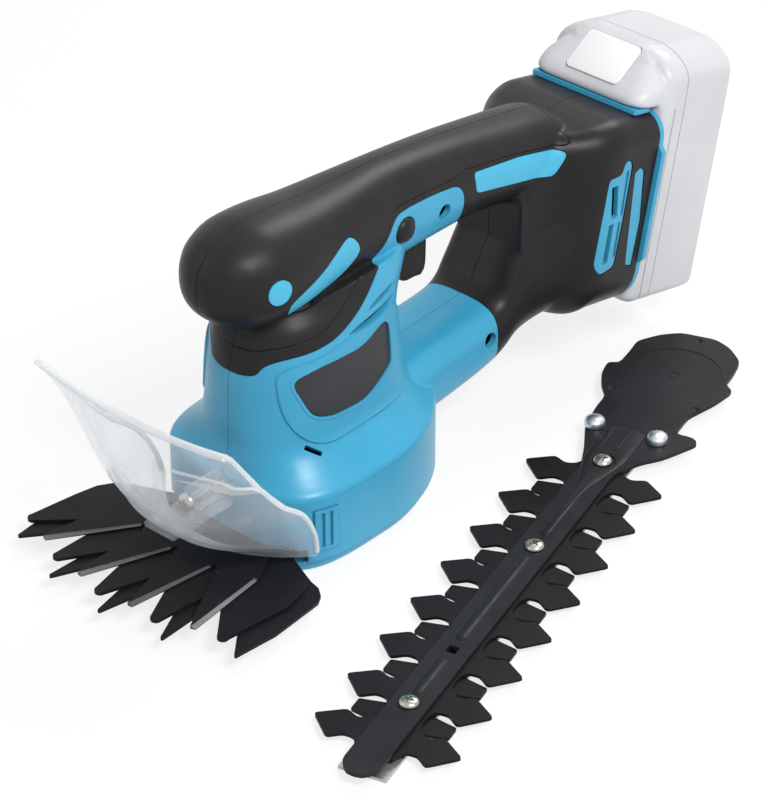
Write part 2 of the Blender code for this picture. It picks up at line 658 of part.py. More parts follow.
# Battery pack: two pale cases with a step-shaped hood, release button and cell block
def pack_rings(grow):
    """Height, half width, front, rear and front corner radius."""
    levels = [
        (PACK_LOW - grow, 35.5, PACK_FRONT + 1, PACK_REAR - 2, 4), (PACK_LOW + 2.5, PACK_HALF_WIDTH, PACK_FRONT, PACK_REAR, 4),
        (PACK_HOOD - 8, PACK_HALF_WIDTH, PACK_FRONT, PACK_REAR, 4), (PACK_HOOD + 1, 37.4, PACK_FRONT, PACK_REAR, 5),
        (54, 37.2, PACK_FRONT + 1, PACK_REAR, 7), (60, 36, PACK_FRONT + 2, PACK_REAR - 0.3, 8),
        (65, 31.5, PACK_FRONT + 3, PACK_REAR - 1.2, 8), (68.6, 25, PACK_FRONT + 5, PACK_REAR - 3, 8),
        (70 + grow, 20, 8, PACK_REAR - 6, 8),
    ]
    rings = []
    for height, half_width, front, rear, radius in levels:
        plan = rounded_rectangle(half_width + grow, front - grow, rear + grow, radius, 8)
        rings.append([(x, y, height) for x, y in plan])
    return rings


def hood_rings():
    """The sloping front over the rail plate, narrower toward its crown."""
    rings = []
    for height, half_width, front in ((PACK_HOOD, 33.5, -15.6), (47.4, 34.5, -16), (51.6, 34.5, -13.6), (56, 33, -9),
                                      (62, 28.5, -2.6), (66, 24.5, 1.6), (69, 20, 5.2), (69.8, 17, 8.5)):
        rings.append([(x, y, height) for x, y in rounded_rectangle(half_width, front, 20, 10 if front < 0 else 6, 4)])
    return rings


pack_form = part("pack_form", loft(pack_rings(0), SEAT), PALE)
join(pack_form, loft(hood_rings(), SEAT))
pack_hollow = part("pack_hollow", loft(pack_rings(-2.2), SEAT), PALE)
battery_top_case = part("battery_top_case", solid_of(pack_form), PALE)
keep(battery_top_case, box((-60, -30, -80), (60, PACK_RIDGE - FIT_GAP, 90), SEAT))
front_hollow = keep(part("front_hollow", solid_of(pack_hollow), PALE), box((-60, PACK_FLOOR, -80), (60, 30, 90), SEAT))
cut(battery_top_case, taken(front_hollow), box((-15, -1, -60), (15, 7.2, 21), SEAT))
for side in (-1, 1):
    cut(battery_top_case, sheet([rail_section(side, FIT_GAP)], PACK_LOW - 3, RAIL_HIGH + FIT_GAP, SEAT))
battery_bottom_case = part("battery_bottom_case", solid_of(pack_form), PALE)
keep(battery_bottom_case, box((-60, PACK_RIDGE, -80), (60, 60, 90), SEAT))
cut(battery_bottom_case, taken(pack_hollow))
bpy.data.objects.remove(pack_form, do_unlink=True)

# The button lies on the slope of the hood and is pressed into it
BUTTON = SEAT @ Matrix.Translation((0, -4.7 * MM, 60.3 * MM)) @ Matrix.Rotation(BUTTON_SLOPE, 4, "X")
battery_button = part("battery_button", sheet(
    [rounded_rectangle(BUTTON_HALF_WIDTH, -BUTTON_LENGTH / 2, BUTTON_LENGTH / 2, 3, 3, 4)], -3.5, 0.6, BUTTON), WHITE)
cut(battery_top_case, sheet(
    [rounded_rectangle(BUTTON_HALF_WIDTH + FIT_GAP, -BUTTON_LENGTH / 2 - FIT_GAP, BUTTON_LENGTH / 2 + FIT_GAP, 3, 3, 4)],
    -3.8 - BUTTON_TRAVEL, 12, BUTTON))
cell_block = part("cell_block", box((-31, PACK_FLOOR + FIT_GAP, -51), (31, PACK_REAR - 5.5, 50), SEAT), DARK)

# Switch in the handle, lock button, trigger and their pin
switch_body = part("switch_body", box((-8, 74, 125), (8, 98, 143)), DARK)
join(switch_body, box((-5, 79, 142), (5, 93, 146)))
PRESS = Matrix.Rotation(math.radians(90), 4, "Y")
lock_profile = [(0, 23.6), (3.0, 23.3), (5.4, 22.0), (LOCK_RADIUS, 19.8), (LOCK_RADIUS, 14), (3, 14), (3, -14),
                (LOCK_RADIUS, -14), (LOCK_RADIUS, -19.8), (5.4, -22.0), (3.0, -23.3), (0, -23.6)]
LOCK_PLACE = Matrix.Translation((0, LOCK_Y * MM, LOCK_Z * MM)) @ PRESS
lock_button = part("lock_button", turned(lock_profile, LOCK_PLACE), DARK)
trigger_outline = [(42.4, 121), (42.6, 118.6), (45.2, 115), (47, 104), (48, 97.5), (51, 93), (58, 92),
                   (63.5, 94), (66, 100), (66.6, 115.6),
                   (78, 116.2), (78, 118.6), (62, 119.5), (52, 122), (47, 123.5), (43.5, 123)]
trigger = part("trigger", side_view(trigger_outline, -TRIGGER_HALF_WIDTH, TRIGGER_HALF_WIDTH), DARK)
cut(trigger, rod(TRIGGER_PIN_RADIUS + FIT_GAP, (-20, *TRIGGER_PIVOT), (20, *TRIGGER_PIVOT), 16))
trigger_pin = part("trigger_pin", rod(TRIGGER_PIN_RADIUS, (-12, *TRIGGER_PIVOT), (12, *TRIGGER_PIVOT), 16), ZINC)

# Case screws, driven from the left into the bosses of the right half
for label, (y, z) in (("handle_screw", HANDLE_SCREW), ("strut_screw", STRUT_SCREW)):
    screw_body = part(label, rod(SCREW_RADIUS, (-14, y, z), (15, y, z), 16), ZINC)
    join(screw_body, rod(SCREW_HEAD_RADIUS, (14 + FIT_GAP, y, z), (16.4, y, z), 20, SCREW_HEAD_RADIUS - 0.8))
    cut(screw_body, box((15.4, y - 2.2, z - 0.5), (18, y + 2.2, z + 0.5)),
        box((15.4, y - 0.5, z - 2.2), (18, y + 0.5, z + 2.2)))

# Motor with its shaft and pinion, fan and gear plate
def gear_outline(teeth, x, y, turn, addendum=0.8, dedendum=1.2):
    """Straight-sided teeth, a little narrower than their gaps so the gears turn freely."""
    pitch_radius = GEAR_MODULE * teeth / 2
    points = []
    for i in range(teeth):
        middle = turn + 2 * math.pi * i / teeth
        for radius, half in ((pitch_radius - dedendum, -0.85), (pitch_radius + addendum, -0.2),
                             (pitch_radius + addendum, 0.2), (pitch_radius - dedendum, 0.85)):
            points.append((radius, middle + half * GEAR_MODULE / radius))
    return [(x + r * math.cos(a), y + r * math.sin(a)) for r, a in points]


shaft_radius = MOTOR_SHAFT_RADIUS
motor_can = part("motor_can", turned([
    (shaft_radius + FIT_GAP, MOTOR_TOP), (6, MOTOR_TOP), (6, MOTOR_TOP - 2), (MOTOR_RADIUS - 1, MOTOR_TOP - 2),
    (MOTOR_RADIUS, MOTOR_TOP - 3), (MOTOR_RADIUS, MOTOR_LOW + 1), (MOTOR_RADIUS - 1, MOTOR_LOW), (6, MOTOR_LOW),
    (6, PLATE_LOW + 1), (shaft_radius + FIT_GAP, PLATE_LOW + 1)], Matrix.Translation((0, MOTOR_Y * MM, 0)), 32), ZINC)
motor_shaft = part("motor_shaft", sheet([
    gear_outline(PINION_TEETH, 0, MOTOR_Y, math.pi / 2)], GEAR_LOW, GEAR_TOP), STEEL)
join(motor_shaft, rod(shaft_radius, (0, MOTOR_Y, GEAR_TOP - 1), (0, MOTOR_Y, 113), 16))
cooling_fan = part("cooling_fan", rod(15, (0, MOTOR_Y, 105), (0, MOTOR_Y, 106.2), 24), DARK)
join(cooling_fan, rod(4, (0, MOTOR_Y, 105.5), (0, MOTOR_Y, 112), 16))
for i in range(8):
    blade = Matrix.Translation((0, MOTOR_Y * MM, 0)) @ Matrix.Rotation(math.radians(45 * i + 10), 4, "Z")
    join(cooling_fan, box((3, -0.6, 105.6), (14.4, 0.6, 111.5), blade))
cut(cooling_fan, rod(shaft_radius + 0.02, (0, MOTOR_Y, 100), (0, MOTOR_Y, 120), 16))
gear_plate = part("gear_plate", sheet([
    [(-24, -38), (24, -38), (30, -16), (34, -13), (34, 9), (29, 14), (26, 34), (14, 44), (-14, 44), (-26, 34),
     (-29, 14), (-34, 9), (-34, -13), (-30, -16)],
    circle(0, MOTOR_Y, 6 + FIT_GAP, 24)], PLATE_LOW, PLATE_TOP), ZINC)
join(gear_plate, rod(7, (0, CRANK_Y, GEAR_TOP + 1), (0, CRANK_Y, PLATE_TOP + 3)))
cut(gear_plate, rod(GEAR_SHAFT_RADIUS + FIT_GAP, (0, CRANK_Y, 30), (0, CRANK_Y, 60)))

# Crank gear: meshes with the pinion and drives the moving blade with a pin set off its axis
off_centre = math.radians(BLADE_OFF_CENTRE)
crank_arm = CRANK_Y - PIVOT_Y
crank_turn = math.acos(crank_arm * math.sin(off_centre) / CRANK_THROW) - off_centre
pin_x = CRANK_THROW * math.cos(crank_turn)
pin_y = CRANK_Y + CRANK_THROW * math.sin(crank_turn)
gear_turn = -math.pi / 2 + math.pi / GEAR_TEETH
crank_gear = part("crank_gear", sheet([
    gear_outline(GEAR_TEETH, 0, CRANK_Y, gear_turn)], GEAR_LOW + 1, GEAR_TOP - 1), STEEL)
join(crank_gear,
     rod(GEAR_SHAFT_RADIUS, (0, CRANK_Y, GEAR_TOP - 2), (0, CRANK_Y, PLATE_TOP + 3)),
     rod(5, (0, CRANK_Y, BLADES_TOP + 6), (0, CRANK_Y, GEAR_LOW + 2)),
     rod(CRANK_PIN_RADIUS, (pin_x, pin_y, UPPER_BLADE_LOW), (pin_x, pin_y, BLADES_TOP + 7), 16))

# Grass blades: pointed lower blade, blunt comb over it, moving blade on top, all on one shoulder bolt
def polar(radius, angle):
    return radius * math.sin(math.radians(angle)), PIVOT_Y - radius * math.cos(math.radians(angle))


def comb_outline(angles, tip_radius, tip_half_width, root_radius, right_side, left_side):
    """Teeth from right to left, then the plate's left side back to its right side."""
    points = list(right_side)
    half_root = TOOTH_PITCH / 2
    for i, angle in enumerate(angles):
        tip_turn = math.degrees(tip_half_width / tip_radius)
        if i > 0:
            points.append(polar(root_radius, angle + half_root))
        points.append(polar(tip_radius, angle + tip_turn))
        points.append(polar(tip_radius, angle - tip_turn))
    return points + list(left_side)


BACK = [(-34, -52), (-22, 8), (-12, 16), (12, 16), (22, 8), (34, -52)]
SIDE_EDGE = [(38, -60), (56, -67.5), (64, -70), (69, -77), (71, -107)]
pointed = [27, 13.5, 0, -13.5, -27]
lower_blade = part("lower_blade", sheet([
    comb_outline(pointed, 151, 0.7, 99, SIDE_EDGE, [(-x, y) for x, y in reversed(SIDE_EDGE)] + BACK),
    circle(0, PIVOT_Y, PIVOT_RADIUS + FIT_GAP, 24)], LOWER_BLADE_LOW, LOWER_BLADE_LOW + BLADE_THICKNESS), BLACK_STEEL)
blunt = [23.5, 10, -3.5, -17, -30.5]
COMB_RIGHT = [(36, -60), (52, -68), (60, -76), (63, -90)]
COMB_LEFT = [(-72, -102), (-68, -80), (-56, -68), (-36, -60)]
comb_blade = part("comb_blade", sheet([
    comb_outline(blunt, 144, 2.8, 108, COMB_RIGHT, COMB_LEFT + BACK),
    circle(0, PIVOT_Y, PIVOT_RADIUS + FIT_GAP, 24)], COMB_BLADE_LOW, COMB_BLADE_LOW + BLADE_THICKNESS), BLACK_STEEL)
MOVING_RIGHT = [(16, -52), (31, -66), (40, -84)]
MOVING_LEFT = [(-48, -78), (-38, -64), (-20, -52), (-9, -4), (-8.4, 12), (-9, 22), (-6.5, 29), (-1, 31.5), (4, 31),
               (8.5, 27.5), (10, 21), (9, 12), (9, -4)]
moving = [17.8, 4.3, -9.2, -22.7]
upper_blade = part("upper_blade", sheet([
    comb_outline(moving, 142, 1.1, 96, MOVING_RIGHT, MOVING_LEFT),
    circle(0, PIVOT_Y, PIVOT_RADIUS + FIT_GAP, 24)], UPPER_BLADE_LOW, BLADES_TOP), BLACK_STEEL)
ARM = Matrix.Translation((0, PIVOT_Y * MM, 0)) @ Matrix.Rotation(math.pi / 2 - off_centre, 4, "Z")
crank_window = CRANK_THROW + CRANK_PIN_RADIUS + crank_arm * math.sin(math.radians(BLADE_SWING)) + FIT_GAP
cut(upper_blade, sheet([circle(crank_arm, 0, crank_window, 24)], 5, 25, ARM))
blade_bolt = part("blade_bolt", turned([
    (0, 22.5), (PIVOT_RADIUS, 22.5), (PIVOT_RADIUS, BLADES_TOP + 2.6), (8, BLADES_TOP + 2.6), (8, BLADES_TOP + FIT_GAP),
    (PIVOT_RADIUS, BLADES_TOP + FIT_GAP), (PIVOT_RADIUS, LOWER_BLADE_LOW), (0, LOWER_BLADE_LOW)],
    Matrix.Translation((0, PIVOT_Y * MM, 0))), ZINC)

# Base cover under the blades, held by a latch on each side
base_cover = part("base_cover", loft([
    [(x, y, z) for x, y in oval(width, -66 + ease, -5, 62 - ease, 4.0, 1.85)]
    for z, width, ease in ((0, 45.5, 3), (1.5, 47, 1.2), (COVER_TOP, 48.4, 0))]), BLUE)
cut(base_cover, loft([[(x, y, z) for x, y in oval(44, -62, -5, 57, 4.0, 1.85)] for z in (3, 12)]))
join(base_cover, box((-26, -40, 2), (26, 26, COVER_TOP + 0.7)))
left_latch = part("left_latch", loft(bowl_rings(1.0, 8.0)), BLUE)
cut(left_latch, loft(bowl_rings(-6.0, 2.0)))
keep(left_latch, box((30, -53.2, 13), (60, -41.8, 35)))
for y in (-50.6, -46.6):
    ridge_gap = part("ridge_gap", box((30, y, 14.5), (70, y + 1.8, 33.5)), BLUE)
    cut(ridge_gap, loft(bowl_rings(-0.4, 2.0)))
    cut(left_latch, taken(ridge_gap))
right_latch = mirrored(left_latch, "right_latch")

# Guard: clear scoop over the blades, screwed to the housing front
def guard_rows(offset):
    """Height at the middle and edge, half width, forward reach at the middle and edge, squareness."""
    rows = [(15, 15, 50, -83, -57, 2.2), (28, 28, 51.5, -101, -60, 3.0), (42, 44, 53, -110, -69, 3.1),
            (52, 57, 54.5, -115, -84, 3.2), (74, 77, 57, -120, -101, 3.2), (99, 106, 60, -122, -123, 2.0)]
    columns = 16
    grid = []
    for middle_z, edge_z, half_width, middle_y, edge_y, power in rows:
        row = []
        for i in range(columns + 1):
            across = 2 * i / columns - 1
            bend = abs(across) ** power
            row.append(((half_width - offset) * across, middle_y + offset + (edge_y - middle_y) * bend,
                        middle_z + (edge_z - middle_z) * across * across))
        grid.append(row)
    return grid


def guard_skin():
    front, back = guard_rows(0.0), guard_rows(2.4)
    return loft([a + list(reversed(b)) for a, b in zip(front, back)])


guard = part("guard", guard_skin(), CLEAR)
join(guard,
     box((-9, -107, 30.4), (9, -68.5, 32.9)),
     rod(6.5, (0, -88, 38), (0, -66.6, 38), 20))
cut(guard, rod(SCREW_RADIUS + FIT_GAP, (0, -95, 38), (0, -60, 38), 16), rod(6, (0, -83.4, 9), (0, -83.4, 17), 12))
guard_screw = part("guard_screw", rod(SCREW_RADIUS, (0, -89, 38), (0, -57, 38), 16), ZINC)
join(guard_screw, rod(4.6, (0, -88.3, 38), (0, -91, 38), 20, 3.4))
cut(guard_screw, box((-2.6, -93, 37.5), (2.6, -90, 38.5)), box((-0.5, -93, 35.4), (0.5, -90, 40.6)))
for housing in (left_housing, right_housing):
    cut(housing, rod(SCREW_RADIUS + FIT_GAP, (0, -70, 38), (0, -50, 38), 16))

# Leads from the terminal block to the switch and from the switch to the motor
battery_lead = tube("battery_lead", [
    (0, 181, 97), (0, 165, 118), (0, 140, 131), (0, 118, 135), (0, 98.4, 134)], 1.6, RUBBER)
motor_lead = tube("motor_lead", [
    (0, 73.2, 138), (0, 60, 144), (0, 40, 147), (0, 24, 143), (0, 17, 126), (0, 12.6, 108), (0, 12, 98)], 1.4, RUBBER)

# Hedge blade: guide bar with mount disc on top, toothed fixed blade, moving blade and lower strip
LAST_TOOTH = HEDGE_FIRST_TOOTH + HEDGE_PITCH * (HEDGE_TEETH - 1)
DISC_EDGE = [(-37.5, -11.2), (-39.3, 6.8), (-35, 16), (-25.8, 25), (-14.4, 26.3), (-3.4, 26.3), (-0.1, 31.8), (14, 28),
             (30.7, 21.1), (47, 21.2), (46.3, 30.2), (50, 34.3), (68.3, 24), (77, 16), (90, 8.75),
             (LAST_TOOTH + 26, 8.75), (LAST_TOOTH + 32, 4), (LAST_TOOTH + 32, -4), (LAST_TOOTH + 26, -8.75), (90, -8.75),
             (77, -13), (60, -20), (42.4, -22), (31.6, -22), (22.3, -28.2),
             (13.6, -31.8), (2.7, -33.1), (1.5, -27.7), (-11, -27.3), (-20.9, -27.8), (-31, -20)]
stud_u, stud_v = HEDGE_STUDS
bar_holes = [circle(u, 0, HEDGE_SCREW_RADIUS + FIT_GAP, 12) for u in HEDGE_SCREWS]
stud_holes = [circle(stud_u, side * stud_v, 2.8, 12) for side in (-1, 1)]
square_hole = [(245.5, -2.5), (250.5, -2.5), (250.5, 2.5), (245.5, 2.5)]
hedge_guide_bar = part("hedge_guide_bar", sheet(
    [DISC_EDGE, *bar_holes, *stud_holes, square_hole], HEDGE_BAR_LOW, HEDGE_BAR_TOP, HEDGE), BLACK_STEEL)


def hedge_outline(tooth, first, count, half_width, start, end):
    """A bar with the same teeth along both of its edges."""
    upper = []
    for i in range(count):
        upper += [(first + HEDGE_PITCH * i + u, v) for u, v in tooth]
    lower = [(u, -v) for u, v in reversed(upper)]
    return [(start, half_width), *upper, (end, half_width), (end, -half_width), *lower, (start, -half_width)]


BIG_TOOTH = [(-12, 10), (-7.5, 12), (-5.5, 17), (-8.7, 23.4), (0, 35.4), (11.9, 23.6), (7, 17.5), (7.5, 12), (11.5, 10)]
SMALL_TOOTH = [(-7, 9.5), (-4, 23.5), (4, 23.5), (7, 9.5)]
hedge_fixed_blade = part("hedge_fixed_blade", sheet([
    hedge_outline(BIG_TOOTH, HEDGE_FIRST_TOOTH, HEDGE_TEETH, 9.5, 66, LAST_TOOTH + 14), *bar_holes, square_hole],
    HEDGE_FIXED_LOW, HEDGE_FIXED_LOW + HEDGE_SHEET, HEDGE), BLACK_STEEL)
moving_slots = [slot(u, 0, HEDGE_STROKE + FIT_GAP, HEDGE_SCREW_RADIUS + FIT_GAP) for u in HEDGE_SCREWS]
hedge_moving_blade = part("hedge_moving_blade", sheet([
    hedge_outline(SMALL_TOOTH, HEDGE_FIRST_TOOTH + HEDGE_PITCH / 2, HEDGE_TEETH - 1, 8.5, 31, LAST_TOOTH + 6),
    *moving_slots],
    HEDGE_MOVING_LOW, HEDGE_MOVING_LOW + HEDGE_SHEET, HEDGE), BLACK_STEEL)
hedge_lower_strip = part("hedge_lower_strip", sheet(
    [[(66, -11.4), (LAST_TOOTH + 24, -11.4), (LAST_TOOTH + 24, 11.4), (66, 11.4)], *bar_holes],
    0, HEDGE_SHEET, HEDGE), ZINC)
hedge_drive_cup = part("hedge_drive_cup", turned([
    (12, HEDGE_BAR_LOW - FIT_GAP), (HEDGE_CUP_RADIUS, HEDGE_BAR_LOW - FIT_GAP), (HEDGE_CUP_RADIUS, 1),
    (HEDGE_CUP_RADIUS - 1, 0), (HEDGE_CUP_RADIUS - 4, 0), (HEDGE_CUP_RADIUS - 4, 3), (12, 3)], HEDGE, 32), DARK)
stud_profile = [(0, 12), (2.6, 11.7), (4.6, 10.6), (5.6, 8.8), (5.6, HEDGE_BAR_TOP + FIT_GAP),
                (2.5, HEDGE_BAR_TOP + FIT_GAP), (2.5, 4.4), (0, 4.4)]
for label, side in (("hedge_stud_left", 1), ("hedge_stud_right", -1)):
    place = HEDGE @ Matrix.Translation((stud_u * MM, side * stud_v * MM, 0))
    part(label, turned(stud_profile, place), ZINC)
screw_profile = [(0, 10), (2.4, 9.8), (4.2, 9.0), (4.6, HEDGE_BAR_TOP + FIT_GAP),
                 (HEDGE_SCREW_RADIUS, HEDGE_BAR_TOP + FIT_GAP), (HEDGE_SCREW_RADIUS, 0.4), (0, 0.4)]
for i, u in enumerate(HEDGE_SCREWS):
    part("hedge_screw_%d" % (i + 1), turned(screw_profile, HEDGE @ Matrix.Translation((u * MM, 0, 0)), 16), ZINC)

# Origins of the moving pieces, on the axes they move about
ORIGINS = {
    "crank_gear": (0, CRANK_Y, 0), "motor_shaft": (0, MOTOR_Y, 0), "cooling_fan": (0, MOTOR_Y, 0),
    "upper_blade": (0, PIVOT_Y, 0), "trigger": (0, *TRIGGER_PIVOT), "lock_button": (0, *LOCK_CENTRE),
    "battery_top_case": (0, SEAT_Y, SEAT_Z), "battery_bottom_case": (0, SEAT_Y, SEAT_Z),
    "cell_block": (0, SEAT_Y, SEAT_Z),
    "battery_button": tuple(BUTTON.translation / MM),
    "left_latch": (42, -47.5, 24), "right_latch": (-42, -47.5, 24),
    "base_cover": (0, 0, 0),
}
for item in PARTS.objects:
    origin = (HEDGE_X, HEDGE_Y, 0) if item.name.startswith("hedge_") else ORIGINS.get(item.name)
    if origin is not None:
        item.data.transform(Matrix.Translation(-Vector(origin) * MM))
        item.location = Vector(origin) * MM

# The working forms are not pieces of the tool
for form in (outer_form, skin_form, pocket_form, inner_form, body_shell, body_skin):
    bpy.data.objects.remove(form, do_unlink=True)
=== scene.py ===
"""Cordless garden shears with a hedge blade beside them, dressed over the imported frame.

The blades point to -Y, +X is the tool's left and +Z is up. Sizes are in millimetres until a mesh is made.
"""

import json
import math

import bmesh
import bpy
from mathutils import Matrix, Vector

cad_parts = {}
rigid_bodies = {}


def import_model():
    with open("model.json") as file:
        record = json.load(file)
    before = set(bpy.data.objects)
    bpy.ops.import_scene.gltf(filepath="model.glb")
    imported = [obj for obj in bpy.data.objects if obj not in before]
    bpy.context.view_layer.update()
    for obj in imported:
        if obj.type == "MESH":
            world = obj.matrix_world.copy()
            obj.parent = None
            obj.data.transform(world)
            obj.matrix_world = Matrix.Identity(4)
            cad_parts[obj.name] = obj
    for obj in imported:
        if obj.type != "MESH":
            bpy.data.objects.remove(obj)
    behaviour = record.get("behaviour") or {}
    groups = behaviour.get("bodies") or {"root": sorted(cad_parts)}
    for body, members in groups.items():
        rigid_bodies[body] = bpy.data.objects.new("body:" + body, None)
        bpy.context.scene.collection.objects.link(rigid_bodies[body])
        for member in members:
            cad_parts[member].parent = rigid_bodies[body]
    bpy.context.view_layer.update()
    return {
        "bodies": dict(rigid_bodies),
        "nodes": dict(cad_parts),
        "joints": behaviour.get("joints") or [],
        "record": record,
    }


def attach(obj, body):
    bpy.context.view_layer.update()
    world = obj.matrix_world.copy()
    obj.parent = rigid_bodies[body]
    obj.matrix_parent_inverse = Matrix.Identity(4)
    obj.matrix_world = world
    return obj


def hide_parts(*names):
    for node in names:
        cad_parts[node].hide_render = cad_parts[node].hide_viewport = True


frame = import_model()

# Camera: a long lens above the tool's left front corner, as in a catalogue picture, so that the
# comb blades point to the lower left and the battery stands at the upper right.
camera_data = bpy.data.cameras.new("camera")
camera_data.lens = 170.09
camera_data.sensor_width = 36.0
camera_data.clip_end = 30.0
camera = bpy.data.objects.new("camera", camera_data)
camera.location = (0.99736, -1.07418, 1.01168)
camera.rotation_euler = (math.radians(56.7), 0.0, math.radians(41.72))
bpy.context.scene.collection.objects.link(camera)
bpy.context.scene.camera = camera

# Studio: a wide pale table under a white background, one soft lamp high on the side that the picture
# shows, a weaker one in front and one behind that draws the edge of the handle.
MM = 0.001
WHITE = (1.0, 1.0, 1.0, 1.0)
SKY = (0.93, 0.96, 1.0, 1.0)
TABLE_TONE = (0.92, 0.92, 0.92, 1.0)
LAMPS = (("key", (1.1, -0.25, 1.4), 0.6, 27.0), ("fill", (-0.9, -1.2, 0.9), 1.0, 2.6),
         ("strip", (-0.2, 1.2, 1.3), 0.6, 14.0))
LAMPS_AIM = Vector((0.02, 0.02, 0.07))
scene = bpy.context.scene
scene.view_settings.view_transform = "Standard"


def shader_node(tree, kind, values=None):
    """A new node with some of its sockets set."""
    made = tree.nodes.new("ShaderNode" + kind)
    for socket, value in (values or {}).items():
        made.inputs[socket].default_value = value
    return made


def worked_out(tree, way, first, second):
    """A sum of the given kind; its first number comes from a socket, its second may be a plain number."""
    made = shader_node(tree, "Math")
    made.operation = way
    tree.links.new(first, made.inputs[0])
    if isinstance(second, float):
        made.inputs[1].default_value = second
    else:
        tree.links.new(second, made.inputs[1])
    return made.outputs[0]


def seen_rays(tree):
    """One for rays that come from the camera, from a glossy surface or through a clear one."""
    rays = shader_node(tree, "LightPath")
    bent = worked_out(tree, "MAXIMUM", rays.outputs["Is Transmission Ray"], rays.outputs["Is Glossy Ray"])
    return worked_out(tree, "MAXIMUM", rays.outputs["Is Camera Ray"], bent)


def blended(tree, share, first, second, end):
    """Two shaders mixed by a share and led to the end of the tree."""
    mix = shader_node(tree, "MixShader")
    for place, socket in enumerate((share, first.outputs[0], second.outputs[0])):
        tree.links.new(socket, mix.inputs[place])
    tree.links.new(mix.outputs[0], end.inputs["Surface"])


world = bpy.data.worlds.new("studio")
scene.world = world
world.use_nodes = True
tree = world.node_tree
tree.nodes.clear()
soft = shader_node(tree, "Background", {"Color": SKY, "Strength": 0.27})
white = shader_node(tree, "Background", {"Color": WHITE})
blended(tree, seen_rays(tree), soft, white, shader_node(tree, "OutputWorld"))


def new_piece(name, bm):
    mesh = bpy.data.meshes.new(name)
    bm.to_mesh(mesh)
    bm.free()
    piece = bpy.data.objects.new(name, mesh)
    scene.collection.objects.link(piece)
    return piece


bm = bmesh.new()
bmesh.ops.create_grid(bm, x_segments=1, y_segments=1, size=6.0)
table = new_piece("table", bm)
paper = bpy.data.materials.new("table_paper")
paper.use_nodes = True
tree = paper.node_tree
matt = tree.nodes["Principled BSDF"]
matt.inputs["Base Color"].default_value = TABLE_TONE
matt.inputs["Roughness"].default_value = 0.9
matt.inputs["Specular IOR Level"].default_value = 0.0
glow = shader_node(tree, "Emission", {"Color": WHITE})
blended(tree, worked_out(tree, "MULTIPLY", seen_rays(tree), 0.8), matt, glow, tree.nodes["Material Output"])
table.data.materials.append(paper)

for name, place, size, power in LAMPS:
    lamp_data = bpy.data.lights.new(name, "AREA")
    lamp_data.shape = "SQUARE"
    lamp_data.size = size
    lamp_data.energy = power
    lamp = bpy.data.objects.new(name, lamp_data)
    lamp.location = place
    lamp.rotation_euler = (LAMPS_AIM - Vector(place)).to_track_quat("-Z", "Y").to_euler()
    scene.collection.objects.link(lamp)

# Body moulding: the gear bowl with its column, the arched handle, the lower strut and the battery
# flange are injection moulded and run into each other with soft fillets. Their form is drawn here as
# one skin; the sections below cut the real mouldings out of it.
ROUND = 96
GRAIN = 0.9


def between(rows, steps=5):
    """Rows of sizes with smooth rows put between them."""
    filled = []
    for i in range(len(rows) - 1):
        a, b, c, d = rows[max(i - 1, 0)], rows[i], rows[i + 1], rows[min(i + 2, len(rows) - 1)]
        span = c[0] - b[0]
        for k in range(steps):
            t = k / steps
            row = [b[0] + span * t]
            for va, vb, vc, vd in zip(a[1:], b[1:], c[1:], d[1:]):
                lead = (vc - va) / (c[0] - a[0]) * span if (vb - va) * (vc - vb) > 0 else 0.0
                tail = (vd - vb) / (d[0] - b[0]) * span if (vc - vb) * (vd - vc) > 0 else 0.0
                row.append(vb * (1 + 2 * t) * (1 - t) ** 2 + lead * t * (1 - t) ** 2
                           + vc * t * t * (3 - 2 * t) + tail * t * t * (t - 1))
            filled.append(row)
    return filled + [list(rows[-1])]


def round_steps(count, first=0.0):
    """The angles of even steps round a circle."""
    return [2 * math.pi * (i + first) / count for i in range(count)]


def oval(half_width, low, middle, high, low_power, high_power, count):
    points = []
    for angle in round_steps(count, 0.5):
        c, s = math.cos(angle), math.sin(angle)
        power, depth = (high_power, high - middle) if s > 0 else (low_power, middle - low)
        points.append((half_width * math.copysign(abs(c) ** (2 / power), c),
                       middle + depth * math.copysign(abs(s) ** (2 / power), s)))
    return points


def cornered(half_width, low, high, low_radius, high_radius, steps):
    points = []
    for x, y, radius, start in ((half_width, high, high_radius, 0), (-half_width, high, high_radius, 90),
                                (-half_width, low, low_radius, 180), (half_width, low, low_radius, 270)):
        centre = (x - math.copysign(radius, x), y - radius if y == high else y + radius)
        for i in range(steps + 1):
            angle = math.radians(start + 90 * i / steps)
            points.append((centre[0] + radius * math.cos(angle), centre[1] + radius * math.sin(angle)))
    return points


def skin_over(rings):
    """A closed form grown from a disc, which is extruded from ring to ring."""
    form = bmesh.new()
    bmesh.ops.create_circle(form, cap_ends=True, segments=len(rings[0]), radius=1.0)
    face = form.faces[:][0]
    rim = [loop.vert for loop in face.loops]
    for i, ring in enumerate(rings):
        if i:
            grown = bmesh.ops.extrude_face_region(form, geom=[face, *face.edges])["geom"]
            face = next(item for item in grown if isinstance(item, bmesh.types.BMFace))
            raised = {tuple(vert.co): vert for vert in face.verts}
            rim = [raised[tuple(vert.co)] for vert in rim]
        for vert, point in zip(rim, ring):
            vert.co = Vector(point) * MM
    bmesh.ops.recalc_face_normals(form, faces=form.faces)
    if form.calc_volume(signed=True) < 0:
        bmesh.ops.reverse_faces(form, faces=form.faces)
    return form


def turned(degrees, axis):
    return Matrix.Rotation(math.radians(degrees), 4, axis)


